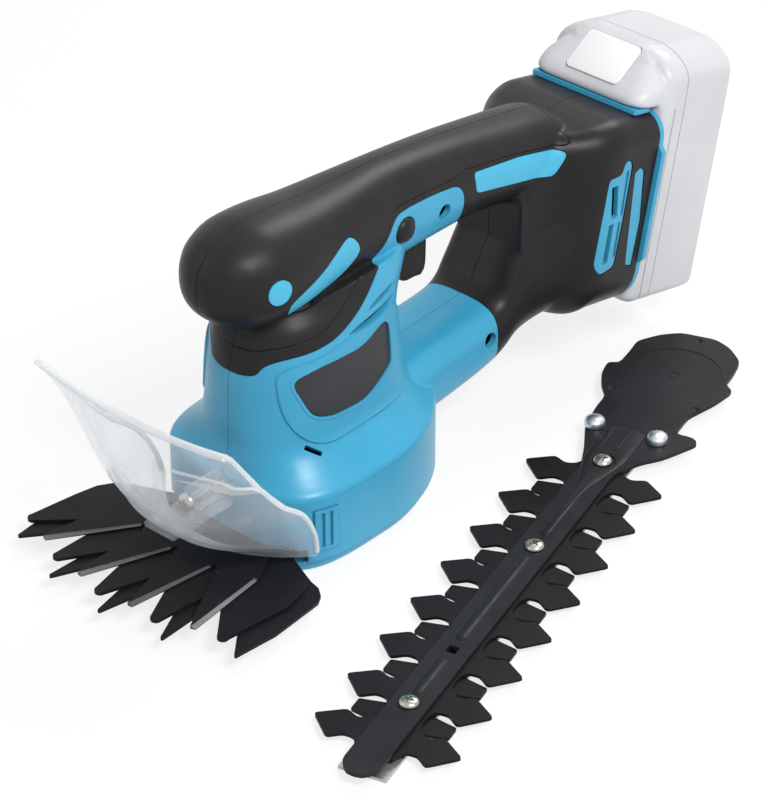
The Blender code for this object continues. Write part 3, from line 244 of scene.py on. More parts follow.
SEAT_LEAN = 13.0
SEAT_TURN = turned(-SEAT_LEAN, "X")
SEAT_AT = Vector((0, 194.5, 88))
SEAT = Matrix.Translation(SEAT_AT * MM) @ SEAT_TURN
BOWL = [(38, 50.3, -66, -5, 62.5, 4.0, 1.85), (42, 50.0, -65.5, -5, 62, 3.9, 1.85),
        (45, 47.0, -63.5, -8, 59, 3.6, 1.9), (50, 42.0, -62, -12, 52, 3.1, 2.0),
        (58, 35.5, -61, -18, 44, 2.6, 2.3), (66, 34.0, -61, -22, 40.5, 2.3, 2.5),
        (78, 33.0, -60.5, -25, 39, 2.1, 2.6), (90, 32.0, -60, -25, 38, 2.1, 2.6),
        (105, 31.0, -57, -24, 40, 2.1, 2.6), (115, 29.0, -53, -20, 45, 2.2, 2.6),
        (125, 25.0, -47, -10, 50, 2.2, 2.6)]
HANDLE = [(-79, 144, 142, 1), (-78.3, 149.5, 136.5, 6.5), (-76, 154.5, 131.5, 12), (-71, 160.5, 126, 18),
          (-62, 165, 120.5, 24), (-47, 167.5, 118, 27.5), (-30, 166.5, 118.5, 27), (-10, 164, 120, 24.5),
          (15, 162.5, 118, 22), (40, 161, 111, 20.5), (80, 156, 111, 20), (120, 149, 106, 21),
          (142, 145, 98, 22), (154, 141, 94, 23), (162, 133, 92, 24)]
STRUT = [(26, 57, 26, 26), (55, 60, 24, 25), (80, 61, 25.5, 24), (99, 62.5, 29, 24), (107, 67, 32, 24),
         (114, 78, 35, 24), (124, 92, 37, 25), (136, 100, 39, 28), (150, 104, 41, 33)]
COLUMN_TOP = 125
FLANGE = [(-77, 20, -33, 15, 14, 14, 0.0), (-68, 21.5, -50, 27, 15, 14, 0.2),
          (-57, 25, -57, 34, 17, 13, 0.4), (-47, 33, -59.5, 37, 19, 12, 0.6),
          (-39, 38, -60, 40, 20, 12, 0.8), (-29, 40, -58, 42.5, 20, 12, 1.0),
          (8, 40, -57, 42.5, 20, 12, 1.0)]


def bowl_skin(grow, low):
    rings = []
    levels = [row for row in between(BOWL) if row[0] < COLUMN_TOP - 0.5 + grow]
    levels = [(low - grow, *BOWL[0][1:])] + levels + [(COLUMN_TOP + grow, *BOWL[-1][1:])]
    for z, width, front, middle, rear, front_power, rear_power in levels:
        plan = oval(width + grow, front - grow, middle, rear + grow, front_power, rear_power, ROUND)
        rings.append([(x, y, z) for x, y in plan])
    return skin_over(rings)


def handle_skin(grow):
    rows = [(-79 - grow, 149, 137, 7)] + between(HANDLE[3:]) if grow < 0 else between(HANDLE)
    rings = []
    for y, top, bottom, width in rows:
        plan = oval(width + grow, bottom - grow, (top + bottom) / 2, top + grow, 2.3, 2.2, ROUND)
        rings.append([(x, y, z) for x, z in plan])
    return skin_over(rings)


def strut_skin(grow):
    rings = []
    for y, top, bottom, width in between(STRUT):
        plan = oval(width + grow, bottom - grow, (top + bottom) / 2, top + grow, 3.2, 3.2, ROUND)
        rings.append([(x, y, z) for x, z in plan])
    return skin_over(rings)


def flange_skin(grow, end):
    rings = []
    stations = between(FLANGE[:-1], 4) + [(end, *FLANGE[-1][1:])]
    stations[0] = (stations[0][0] - grow, *stations[0][1:])
    for place, width, bottom, top, low_radius, high_radius, lean in stations:
        plan = cornered(width + grow, bottom - grow, top + grow, low_radius + grow, high_radius + grow,
                        ROUND // 4 - 1)
        tilt = math.tan(math.radians(SEAT_LEAN)) * (1 - lean)
        rings.append([SEAT_TURN @ Vector((x, place - z * tilt, z)) + SEAT_AT for x, z in plan])
    return skin_over(rings)


def settle(piece):
    """The mesh that a piece's modifiers give takes the place of its own."""
    depsgraph = bpy.context.evaluated_depsgraph_get()
    mesh = bpy.data.meshes.new_from_object(piece.evaluated_get(depsgraph))
    piece.modifiers.clear()
    piece.data = mesh
    return piece


def add_form(whole, form):
    mesh = bpy.data.meshes.new("form")
    form.to_mesh(mesh)
    whole.from_mesh(mesh)
    bpy.data.meshes.remove(mesh)
    form.free()


def melted(name, skins, grain, rounds):
    """Several closed skins run together into one, with a soft fillet where they meet."""
    whole = bmesh.new()
    for skin in skins:
        add_form(whole, skin)
    piece = new_piece(name, whole)
    melt = piece.modifiers.new("melt", "REMESH")
    melt.mode = "VOXEL"
    melt.voxel_size = grain * MM
    ease = piece.modifiers.new("ease", "SMOOTH")
    ease.factor = 0.5
    ease.iterations = rounds
    return settle(piece)


def body_skins(grow, low, end):
    return bowl_skin(grow, low), handle_skin(grow), strut_skin(grow), flange_skin(grow, end)


outer_form = melted("outer_form", body_skins(0.15, 3.0, 8.0), GRAIN, 5)
skin_form = melted("skin_form", body_skins(-1.5, 2.0, 9.0), 1.6, 2)
pocket_form = melted("pocket_form", body_skins(-1.8, 2.0, 9.0), 1.6, 2)
inner_form = melted("inner_form", body_skins(-3.0, -4.0, 14.0), 2.2, 1)


# Gear housing halves: light blue nylon, screwed together down the middle. Each has a raised cheek with
# the badge recess, two curved slits under the black collar and a slot on its slope.
GAP = 0.15
FIT = 0.3
FAR = 260


def pushed_up(bm, faces, height):
    """Flat faces drawn out upwards into a solid."""
    grown = bmesh.ops.extrude_face_region(bm, geom=faces)["geom"]
    top = [item for item in grown if isinstance(item, bmesh.types.BMVert)]
    bmesh.ops.translate(bm, verts=top, vec=(0, 0, height * MM))
    bmesh.ops.recalc_face_normals(bm, faces=bm.faces)


def drawn(outline, low, high, frame=None, across=True):
    """A flat outline pushed to a solid; across turns it from the plan into a side view of (y, z)."""
    bm = bmesh.new()
    face = bm.faces.new([bm.verts.new((x * MM, y * MM, low * MM)) for x, y in outline])
    pushed_up(bm, [face], high - low)
    if across:
        bm.transform(Matrix(((0, 0, 1, 0), (1, 0, 0, 0), (0, 1, 0, 0), (0, 0, 0, 1))))
    if frame is not None:
        bm.transform(frame)
    return bm


def carve(piece, bm, way="DIFFERENCE"):
    tool = new_piece("tool", bm)
    change = piece.modifiers.new("carve", "BOOLEAN")
    change.operation = way
    change.object = tool
    change.solver = "MANIFOLD"
    settle(piece)
    bpy.data.objects.remove(tool, do_unlink=True)
    return piece


def copy_of(piece):
    bm = bmesh.new()
    bm.from_mesh(piece.data)
    return bm


def spent(piece):
    bm = copy_of(piece)
    bpy.data.objects.remove(piece, do_unlink=True)
    return bm


def narrowed(outline, amount):
    """An outline moved inward by an amount on every edge."""
    count = len(outline)
    area = sum(outline[i - 1][0] * outline[i][1] - outline[i][0] * outline[i - 1][1] for i in range(count))
    side = 1 if area > 0 else -1
    inward = []
    for i in range(count):
        here = Vector(outline[i])
        first = (here - Vector(outline[i - 1])).normalized()
        second = (Vector(outline[(i + 1) % count]) - here).normalized()
        normal = Vector((-first.y, first.x)) * side
        middle = (normal + Vector((-second.y, second.x)) * side).normalized()
        inward.append(tuple(here + middle * amount / max(0.3, middle.dot(normal))))
    return inward


def shell_slice(name, column, outer, inner):
    """The part of a column that lies between two skins."""
    piece = new_piece(name, column)
    carve(piece, outer, "INTERSECT")
    return carve(piece, inner)


def eased(outline, reach, steps=2):
    """An outline with every corner rounded off by a short curve."""
    points = []
    for i, here in enumerate(outline):
        here, before, after = Vector(here), Vector(outline[i - 1]), Vector(outline[(i + 1) % len(outline)])
        start = here + (before - here).normalized() * min(reach, (before - here).length / 2.2)
        end = here + (after - here).normalized() * min(reach, (after - here).length / 2.2)
        for t in [k / steps for k in range(steps + 1)]:
            points.append(tuple(start * (1 - t) ** 2 + here * 2 * t * (1 - t) + end * t * t))
    return points


def mirror_of(piece, name):
    bm = copy_of(piece)
    bmesh.ops.scale(bm, verts=bm.verts, vec=(-1, 1, 1))
    bmesh.ops.reverse_faces(bm, faces=bm.faces)
    return new_piece(name, bm)


def rod(radius, start, end, segments=32):
    start, along = Vector(start), Vector(end) - Vector(start)
    bm = bmesh.new()
    turn = along.to_track_quat("Z", "Y").to_matrix().to_4x4()
    bmesh.ops.create_cone(bm, cap_ends=True, segments=segments, radius1=radius * MM, radius2=radius * MM,
                          depth=along.length * MM, matrix=Matrix.Translation((start + along / 2) * MM) @ turn)
    return bm


def block(low, high, frame=None):
    bm = bmesh.new()
    bmesh.ops.create_cube(bm, size=1.0)
    bmesh.ops.scale(bm, verts=bm.verts, vec=(Vector(high) - Vector(low)) * MM)
    bmesh.ops.translate(bm, verts=bm.verts, vec=(Vector(high) + Vector(low)) / 2 * MM)
    if frame is not None:
        bm.transform(frame)
    return bm


def smooth(piece, angle=35):
    piece.data.shade_smooth()
    piece.data.set_sharp_from_angle(angle=math.radians(angle))
    return piece


def new_finish(name):
    finish = bpy.data.materials.new(name)
    finish.use_nodes = True
    tree = finish.node_tree
    return finish, tree, tree.nodes["Principled BSDF"], shader_node(tree, "TexCoord").outputs["Object"]


def noise(tree, place, scale, detail):
    made = shader_node(tree, "TexNoise", {"Scale": scale, "Detail": detail})
    tree.links.new(place, made.inputs["Vector"])
    return made.outputs["Fac"]


def toned(tree, shader, drift, dark, light, low, high):
    """The colour goes from dark to light as the drift rises from low to high."""
    ramp = shader_node(tree, "ValToRGB")
    for stop, position, colour in zip(ramp.color_ramp.elements, (low, high), (dark, light)):
        stop.position = position
        stop.color = (*colour, 1.0)
    tree.links.new(drift, ramp.inputs["Fac"])
    tree.links.new(ramp.outputs["Color"], shader.inputs["Base Color"])


def ranged(tree, value, end, low, high, given=(0.0, 1.0)):
    """A value stretched from a given range to low and high, and led to a socket."""
    sizes = {"From Min": given[0], "From Max": given[1], "To Min": low, "To Max": high}
    span = shader_node(tree, "MapRange", sizes)
    tree.links.new(value, span.inputs["Value"])
    tree.links.new(span.outputs["Result"], end)


def relief(tree, shader, height, edge, strength, depth):
    """Softly rounded edges and a fine relief on the surface."""
    rounding = shader_node(tree, "Bevel", {"Radius": edge * MM})
    rounding.samples = 4
    bump = shader_node(tree, "Bump", {"Strength": strength, "Distance": depth * MM})
    tree.links.new(height, bump.inputs["Height"])
    tree.links.new(rounding.outputs["Normal"], bump.inputs["Normal"])
    tree.links.new(bump.outputs["Normal"], shader.inputs["Normal"])


def moulded_plastic(name, colour, shade, roughness, grain_size, grain_depth, edge=0.45, gloss=0.3):
    """Plastic with a fine moulded grain, a slight drift of colour and softly rounded edges."""
    finish, tree, shader, place = new_finish(name)
    shader.inputs["Specular IOR Level"].default_value = gloss
    toned(tree, shader, noise(tree, place, 26.0, 3.0), shade, colour, 0.3, 0.7)
    grain = noise(tree, place, 1000.0 / grain_size, 2.0)
    ranged(tree, grain, shader.inputs["Roughness"], roughness - 0.04, roughness + 0.05, (0.3, 0.7))
    relief(tree, shader, grain, edge, 0.35, grain_depth)
    return finish


def finished(piece, finish, body, *stands_for, slot):
    piece.data.materials.clear()
    piece.data.materials.append(finish)
    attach(piece, body)
    if stands_for:
        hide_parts(*stands_for)
    return piece


def finish_pair(left, right, finish, node, slot):
    for piece, side in ((left, "left_"), (right, "right_")):
        finished(smooth(piece), finish, "body", side + node, slot=slot)


GRIP_LINE = [(-100, 93), (-57, 94), (-54, 101), (-48, 104), (-20, 107), (-7, 112), (11, 122), (21, 131),
             (29, 143), (37, 143.5), (54, 142.5), (74, 140), (78, 133), (77.5, 118), (77, 100)]
SEAT_EDGE = [(164.3, -28.2), (218.3, 205.7)]
HOUSING_OUTLINE = eased([(-100, 7.3 - GAP)] + GRIP_LINE + [(80, 90), (99, 80), (99, 7.3 - GAP)], 6.0, 5)
HANDLE_OUTLINE = eased(GRIP_LINE + [(80, 90), (99, 80), (99, -28.2), *SEAT_EDGE, (-100, 205.7)], 6.0, 5)
SIDE_BADGE = [(-48, 94), (-34, 98), (-7, 96), (10, 101), (16, 96), (16, 76), (12, 74), (-7, 68), (-29, 70),
              (-40, 74)]
UPPER_SLIT = [(-0.7, 109.9), (7, 112.6), (15, 113.7), (23.5, 113.9), (19.4, 111.4), (9.5, 110)]
LOWER_SLIT = [(-15.4, 104.6), (-8, 106.2), (3.4, 107.2), (13, 107.6), (23.5, 108.2), (20, 105.2),
              (8, 103.2), (-4.2, 103.4)]
CHEEK = [(-52.4, 97), (-51.8, 80), (-48.5, 69), (-42, 61.5), (-32, 57.6), (-12, 58.4), (12, 57.2), (28, 57),
         (33, 66), (32, 84), (27, 101), (16, 105.5), (2, 105.5), (-12, 103), (-34, 101.5), (-47, 100)]
SIDE_BADGE, CHEEK = eased(SIDE_BADGE, 6.0, 5), eased(CHEEK, 8.0, 4)
UPPER_SLIT, LOWER_SLIT = eased(UPPER_SLIT, 4.0, 4), eased(LOWER_SLIT, 4.0, 4)
BLADE_MOUTH = (-1, -80, 0), (43, -45, 14.2)
LATCH_HOLE = (36, -53.5, 12.7), (60, -41.5, 35.3)
TRIGGER_MOUTH = (-1, 44, 100), (7.1, 71.5, 118)
SLOPE_SLOT = (-4.5, -1.1, -1.1), (4.5, 1.1, 4)
SLOPE_SLOT_AT = Vector((31.5, -40.4, 55.2))
LOCK = (36.0, 133.0)
HANDLE_SCREW = (64.0, 130.0)
STRUT_SCREW = (93.5, 48.0)
blue_finish = moulded_plastic("blue_nylon", (0.046, 0.345, 0.545), (0.038, 0.315, 0.505), 0.34, 0.35, 0.03,
                              0.6, 0.4)
body_shell = new_piece("body_shell", copy_of(outer_form))
carve(body_shell, copy_of(inner_form))
left_housing = new_piece("housing_left", copy_of(body_shell))
carve(left_housing, drawn(narrowed(HOUSING_OUTLINE, GAP), GAP, FAR), "INTERSECT")
carve(left_housing, block(*BLADE_MOUTH))
for outline, rise, depth, side in ((CHEEK, 1.2, -0.9, 12.4), (narrowed(SIDE_BADGE, -1.4), 1.5, -1.2, 11.6)):
    pad = shell_slice("pad", drawn(outline, side, FAR), bowl_skin(rise, 3.0), bowl_skin(depth, 2.0))
    carve(left_housing, spent(pad), "UNION")
slot_along = Vector((17.6, 19.7, -14.7)).normalized()
slot_across = Vector((0.5, -0.4, 0.77)).cross(slot_along).normalized()
slot_turn = Matrix((slot_along, slot_across, slot_along.cross(slot_across))).transposed().to_4x4()
carve(left_housing, block(*SLOPE_SLOT, Matrix.Translation(SLOPE_SLOT_AT * MM) @ slot_turn))
badge_seat = new_piece("badge_seat", drawn(SIDE_BADGE, 10, FAR))
carve(badge_seat, bowl_skin(-1.6, 1.0))
carve(left_housing, spent(badge_seat))
for cutter in (rod(6.7, (-1, *LOCK), (60, *LOCK)), block(*TRIGGER_MOUTH), block(*LATCH_HOLE),
               drawn(UPPER_SLIT, 18, FAR), drawn(LOWER_SLIT, 18, FAR)):
    carve(left_housing, cutter)
right_housing = mirror_of(left_housing, "housing_right")
for y, z in (HANDLE_SCREW, STRUT_SCREW):
    carve(left_housing, rod(3.9, (14, y, z), (60, y, z)))
finish_pair(left_housing, right_housing, blue_finish, "housing", "blue_plastic")

# Badge plates: thin dark plates let flush into the column sides, left bare.
badge_finish = moulded_plastic("badge_plate", (0.034, 0.035, 0.038), (0.027, 0.028, 0.031), 0.42, 0.5, 0.02,
                               0.3)
badge_column = drawn(narrowed(SIDE_BADGE, FIT), 12, FAR)
left_badge = shell_slice("badge_plate_left", badge_column, bowl_skin(0.6, 2.0), bowl_skin(-1.4, 1.0))
right_badge = mirror_of(left_badge, "badge_plate_right")
finish_pair(left_badge, right_badge, badge_finish, "badge_panel", "dark_plastic")

# Handle shells: black glass-filled nylon from the pommel to the battery flange, with a pocket for the
# rubber, a pocket for the blue inlay and a window for the vent frame in each side.
RUBBER_OUTLINE = [(-100, 106), (-56, 106), (-50, 109), (-30, 112), (-14, 118), (6, 128), (20, 133.5),
                  (24, 140), (29, 146.5), (33, 146.5), (74, 143.5), (78, 145), (85, 143.5), (110, 139.5),
                  (136, 133.5), (148, 131), (151, 138), (149, 152), (146, 200), (-100, 200)]
RUBBER_OUTLINE = eased(RUBBER_OUTLINE, 6.0, 5)
REAR_INLAY = [(85, 141.5), (86, 130), (112, 124), (138, 118.4), (145.6, 128.6), (143.2, 130.6),
              (118, 136.5)]
REAR_INLAY = eased(REAR_INLAY, 3.0, 4)
VENT = [(152, 68), (155, 62), (166, 62.5), (172, 86), (178, 114), (176.2, 117.6), (172.2, 117.6),
        (170, 112), (162, 112)]
VENT = eased(VENT, 2.5, 3)
VENT_SLOTS = ([(163.6, 107), (167.6, 107), (167.4, 90), (163, 90)],
              [(161.8, 87), (165.2, 87), (161, 67), (157.4, 67)],
              [(174, 112), (175.8, 112), (171.6, 89), (169.8, 89)],
              [(168.6, 86), (170.4, 86), (166.8, 68), (165, 68)])
SIDE_GROOVE = [(179.9, 108.5), (184.3, 110), (187.1, 107), (185.5, 80), (179.6, 57), (175, 59), (175, 63)]
black_finish = moulded_plastic("black_nylon", (0.018, 0.017, 0.018), (0.013, 0.012, 0.013), 0.36, 0.5, 0.05,
                               0.5, 0.17)


def pocket(outline, floor, low_x):
    hole = new_piece("pocket", drawn(outline, low_x, FAR))
    return spent(carve(hole, floor))


left_shell = new_piece("handle_shell_left", copy_of(body_shell))
carve(left_shell, drawn(narrowed(HANDLE_OUTLINE, GAP), GAP, FAR), "INTERSECT")
carve(left_shell, pocket(RUBBER_OUTLINE, copy_of(pocket_form), -5))
carve(left_shell, pocket(REAR_INLAY, copy_of(pocket_form), 8))
carve(left_shell, drawn(VENT, 30, FAR))
carve(left_shell, pocket(SIDE_GROOVE, flange_skin(-1.6, 20), 30))
right_shell = mirror_of(left_shell, "handle_shell_right")
finish_pair(left_shell, right_shell, black_finish, "handle_shell", "dark_plastic")

# Soft grip: a sleeve of black rubber moulded over the pommel and along the handle to a collar, with a
# blue dot and a blue strip set into its left side and a blue inlay behind it.
GRIP_STRIP = [(-6.5, 149), (-2, 147.5), (2, 142), (2.6, 137.5), (-6.3, 132), (-18, 126), (-34, 121.5),
              (-42, 123), (-46.5, 129), (-46, 134), (-35, 138), (-23.6, 141.8), (-15, 145.6)]
GRIP_STRIP = eased(GRIP_STRIP, 8.0, 4)
GRIP_DOT = [(-53.2 + 6.4 * math.cos(angle), 142.9 + 6.4 * math.sin(angle)) for angle in round_steps(40)]
rubber_finish = moulded_plastic("grip_rubber", (0.020, 0.018, 0.019), (0.015, 0.014, 0.015), 0.38, 0.6, 0.08,
                                0.7, 0.16)
left_rubber = new_piece("rubber_grip_left", copy_of(outer_form))
carve(left_rubber, copy_of(skin_form))
carve(left_rubber, drawn(narrowed(RUBBER_OUTLINE, FIT), GAP, FAR), "INTERSECT")
right_rubber = mirror_of(left_rubber, "rubber_grip_right")
for outline in (GRIP_STRIP, GRIP_DOT):
    carve(left_rubber, drawn(outline, 8, FAR))
finish_pair(left_rubber, right_rubber, rubber_finish, "rubber_grip", "black_rubber")
soft_blue = moulded_plastic("blue_inlay", (0.072, 0.44, 0.65), (0.060, 0.41, 0.61), 0.42, 0.4, 0.03, 0.7)
INLAYS = (("strip_inlay", GRIP_STRIP, 0.3, "grip_strip"), ("dot_inlay", GRIP_DOT, 0.4, "grip_dot"),
          ("rear_inlay_left", REAR_INLAY, 0.0, "left_rear_inlay"))
for name, outline, rise, node in INLAYS:
    inlay_face = handle_skin(rise) if rise else copy_of(outer_form)
    inlay = shell_slice(name, drawn(narrowed(outline, FIT), 8, FAR), inlay_face, copy_of(skin_form))
    finished(smooth(inlay), soft_blue, "body", node, slot="blue_plastic")
rear_inlay_right = mirror_of(inlay, "rear_inlay_right")
finished(smooth(rear_inlay_right), soft_blue, "body", "right_rear_inlay", slot="blue_plastic")

# Vent frames: blue grilles with four slots, clipped into the flange sides, and a narrow blue strip in the
# groove beside each of them.
left_vent = shell_slice("vent_frame_left", drawn(narrowed(VENT, FIT), 30, FAR), flange_skin(-0.2, -3.6),
                        flange_skin(-2.8, 20))
for outline in VENT_SLOTS:
    carve(left_vent, drawn(outline, 30, FAR))
right_vent = mirror_of(left_vent, "vent_frame_right")
strip_column = drawn(narrowed(SIDE_GROOVE, FIT), 30, FAR)
left_strip = shell_slice("vent_strip_left", strip_column, flange_skin(-0.2, -3.6), flange_skin(-1.3, 20))
right_strip = mirror_of(left_strip, "vent_strip_right")
finish_pair(left_vent, right_vent, blue_finish, "vent_frame", "blue_plastic")
finish_pair(left_strip, right_strip, blue_finish, "vent_strip", "blue_plastic")

# Battery rail plate: a blue plate that closes the flange, with an ear on each side, a lip on top and
# two hooked rails that hold the pack; the black terminal block stands through it.
LYING = SEAT @ Matrix(((1, 0, 0, 0), (0, 0, -1, 0), (0, 1, 0, 0), (0, 0, 0, 1)))


def hooked_rails(piece, play, low, high, way):
    """Two rails with a hook on the outer side, or with some play the two channels that take them."""
    rail = [(22 - play, -1), (25 + play, -1), (25 + play, 2.8 - play), (28 + play, 2.8 - play),
            (28 + play, 5 + play), (22 - play, 5 + play)]
    for side in (-1, 1):
        carve(piece, drawn([(side * x, y) for x, y in rail], low, high, SEAT, False), way)


edge = cornered(40, -57, 42.5, 20, 12, 16)
ear = [(40, -33), (42.6, -30), (42.6, 25), (40, 28)]
half = len(edge) // 2
plate_edge = edge[:half] + [(-x, z) for x, z in reversed(ear)] + edge[half:] + ear
rail_plate = new_piece("rail_plate", drawn(plate_edge, 0, 3.0, LYING, False))
lip = skin_over([[(x, y, z) for x, y in cornered(32, -16.4, -0.2, 1, 6, 8)] for z in (42.8, 45.2)])
lip.transform(SEAT)
carve(rail_plate, lip, "UNION")
carve(rail_plate, block((-30, -2.6, 38.5), (30, -0.6, 44.5), SEAT), "UNION")
hooked_rails(rail_plate, 0, -44, 26, "UNION")
carve(rail_plate, block((-14.6, -8, -13), (14.6, 8, 19), SEAT))
finished(smooth(rail_plate), blue_finish, "body", "battery_rail_plate", slot="blue_plastic")

# Battery pack: two pale grey cases that meet at a ridge, with a sloping hood over the rail plate. The
# hood carries the release button, whose label is plain white.
PACK = [(-57, 35.5, 1.4, 54, 4), (-54.5, 37.5, 0.4, 56, 4), (37.5, 37.5, 0.4, 56, 4),
        (46.5, 37.4, 0.4, 56, 5), (54, 37.2, 1.4, 56, 7), (60, 36, 2.4, 55.7, 8), (65, 31.5, 3.4, 54.8, 8),
        (68.6, 25, 5.4, 53, 8), (70, 20, 8, 50, 8)]
TOP_CASE_END, BOTTOM_CASE_START = 15.9, 16.4
HOOD = [(45.5, 33.5, -15.6), (47.4, 34.5, -16), (51.6, 34.5, -13.6), (56, 33, -9), (62, 28.5, -2.6),
        (66, 24.5, 1.6), (69, 20, 5.2), (69.8, 17, 8.5)]


def moved(x, y, z):
    return Matrix.Translation((x * MM, y * MM, z * MM))


def pack_skin(grow):
    rows = [list(row) for row in PACK[:3]] + between(PACK[2:], 4)[1:]
    rows[0][0] -= grow
    rows[-1][0] += grow
    return skin_over([[(x, y, z) for x, y in cornered(width + grow, front - grow, rear + grow, radius, 8, 10)]
                      for z, width, front, rear, radius in rows])


hood = skin_over([[(x, y, z) for x, y in cornered(width, front, 20, 10 if front < 0 else 6, 4, 10)]
                  for z, width, front in between(HOOD, 3)])
pack_form = melted("pack_form", (pack_skin(0.1), hood), GRAIN, 4)
pack_form.data.transform(SEAT)
pack_hollow = pack_skin(-2.2)
pack_hollow.transform(SEAT)
pack_hollow = new_piece("pack_hollow", pack_hollow)
pale_finish = moulded_plastic("pale_case", (0.60, 0.60, 0.615), (0.55, 0.55, 0.565), 0.34, 0.45, 0.02, 0.6)
top_case = new_piece("battery_case_top", copy_of(pack_form))
carve(top_case, block((-60, -30, -80), (60, TOP_CASE_END, 90), SEAT), "INTERSECT")
front_hollow = new_piece("front_hollow", copy_of(pack_hollow))
carve(front_hollow, block((-60, 9, -80), (60, 30, 90), SEAT), "INTERSECT")
carve(top_case, spent(front_hollow))
carve(top_case, block((-15, -1, -60), (15, 7.2, 21), SEAT))
hooked_rails(top_case, FIT, -60, 26.3, "DIFFERENCE")
for left, right in ((-38.5, -36.9), (36.9, 38.5)):
    carve(top_case, block((left, 8.2, -60), (right, 9.2, 44), SEAT))
bottom_case = new_piece("battery_case_bottom", copy_of(pack_form))
carve(bottom_case, block((-60, BOTTOM_CASE_START, -80), (60, 60, 90), SEAT), "INTERSECT")
carve(bottom_case, spent(pack_hollow))
bpy.data.objects.remove(pack_form, do_unlink=True)
BUTTON = SEAT @ moved(0, -4.7, 60.3) @ turned(43.3, "X")
carve(top_case, drawn(cornered(16.4, -12.05, 12.05, 3, 3, 8), -6.8, 12, BUTTON, False))
finished(smooth(top_case), pale_finish, "battery", "battery_top_case", slot="pale_plastic")
finished(smooth(bottom_case), pale_finish, "battery", "battery_bottom_case", slot="pale_plastic")
label_finish = moulded_plastic("button_label", (0.84, 0.84, 0.84), (0.81, 0.81, 0.815), 0.45, 0.8, 0.01, 0.5)
button = drawn(cornered(16.1, -11.75, 11.75, 3, 3, 8), -3.5, 0.6, None, False)
rim = [edge for edge in button.edges if all(vert.co.z > 0 for vert in edge.verts)]
bmesh.ops.bevel(button, geom=rim, offset=0.5 * MM, offset_type="OFFSET", segments=2, profile=0.5,
                affect="EDGES", material=-1)
button.transform(BUTTON)
button = smooth(new_piece("release_button", button))
finished(button, label_finish, "battery_button", "battery_button", slot="white_label")

# Trigger, lock button and base cover: small mouldings. The trigger hangs on a steel pin in front of the
# hand, the lock is a round bar that sticks out of both sides, and the cover closes the blade drive.
trigger_side = [(42.4, 121), (42.6, 118.6), (45.2, 115), (46.4, 109), (47, 104), (47.4, 99.5), (48.2, 96),
                (50.2, 93.4), (53.5, 92.2), (58, 92), (61.5, 92.6), (64, 94.4), (65.4, 97), (66, 100),
                (66.6, 115.6), (78, 116.2), (78, 118.6), (62, 119.5), (52, 122), (47, 123.5), (43.5, 123)]
TRIGGER_PIN = (46, 119)
trigger = drawn(trigger_side, -6.5, 6.5)
rim = [edge for edge in trigger.edges if abs(edge.verts[0].co.x - edge.verts[1].co.x) < 1e-6]
bmesh.ops.bevel(trigger, geom=rim, offset=1.0 * MM, offset_type="OFFSET", segments=3, profile=0.5,
                affect="EDGES", material=-1, clamp_overlap=True)
trigger = new_piece("trigger_lever", trigger)
carve(trigger, rod(1.8, (-20, *TRIGGER_PIN), (20, *TRIGGER_PIN), 24))
finished(smooth(trigger), black_finish, "trigger", "trigger", slot="dark_plastic")


def spun(profile, frame=None, steps=48):
    """A profile of (radius, height) points turned round Z into a closed skin."""
    bm = bmesh.new()
    verts = [bm.verts.new((r * MM, 0, z * MM)) for r, z in profile]
    edges = [bm.edges.new(pair) for pair in zip(verts, verts[1:])]
    if profile[0][0] > 0:
        edges.append(bm.edges.new((verts[-1], verts[0])))
    bmesh.ops.spin(bm, geom=verts + edges, cent=(0, 0, 0), axis=(0, 0, 1), angle=2 * math.pi, steps=steps,
                   use_merge=True, use_normal_flip=False, use_duplicate=False)
    bmesh.ops.remove_doubles(bm, verts=bm.verts, dist=1e-6)
    bmesh.ops.recalc_face_normals(bm, faces=bm.faces)
    if frame is not None:
        bm.transform(frame)
    return bm


PRESS = moved(0, *LOCK) @ turned(90, "Y")
lock_half = [(0, 23.5), (2.2, 23.35), (4.0, 22.8), (5.4, 21.8), (6.1, 20.7), (6.4, 19.4), (6.4, 14), (3, 14)]
lock = spun(lock_half + [(r, -z) for r, z in reversed(lock_half)], PRESS)
finished(smooth(new_piece("lock_bar", lock)), black_finish, "lock_button", "lock_button", slot="dark_plastic")
cover_rows = [(0, 44.9, 3.6), (0.5, 45.9, 2.6), (1.5, 47, 1.2), (3.5, 47.7, 0.5), (7.0, 48.4, 0)]
cover_rings = [[(x, y, z) for x, y in oval(width, inset - 66, -5, 62 - inset, 4.0, 1.85, ROUND)]
               for z, width, inset in cover_rows]
cover = new_piece("cover_plate", skin_over(cover_rings))
carve(cover, skin_over([[(x, y, z) for x, y in oval(44, -62, -5, 57, 4.0, 1.85, ROUND)] for z in (3, 12)]))
carve(cover, block((-26, -40, 2), (26, 26, 7.7)), "UNION")
finished(smooth(cover), blue_finish, "base_cover", "base_cover", slot="blue_plastic")

# Side latches: blue push tabs with three ridges, one each side, that let the base cover go.
LATCH = (30, -53.2, 13), (60, -41.8, 35)
left_latch = shell_slice("latch_left", block(*LATCH), bowl_skin(1.0, 8.0), bowl_skin(-6.0, 2.0))
for y in (-50.6, -46.6):
    ridge_gap = new_piece("ridge_gap", block((30, y, 14.5), (70, y + 1.8, 33.5)))
    carve(left_latch, spent(carve(ridge_gap, bowl_skin(-0.4, 2.0))))
right_latch = mirror_of(left_latch, "latch_right")
for piece, node in ((left_latch, "left_latch"), (right_latch, "right_latch")):
    finished(smooth(piece), blue_finish, node, node, slot="blue_plastic")

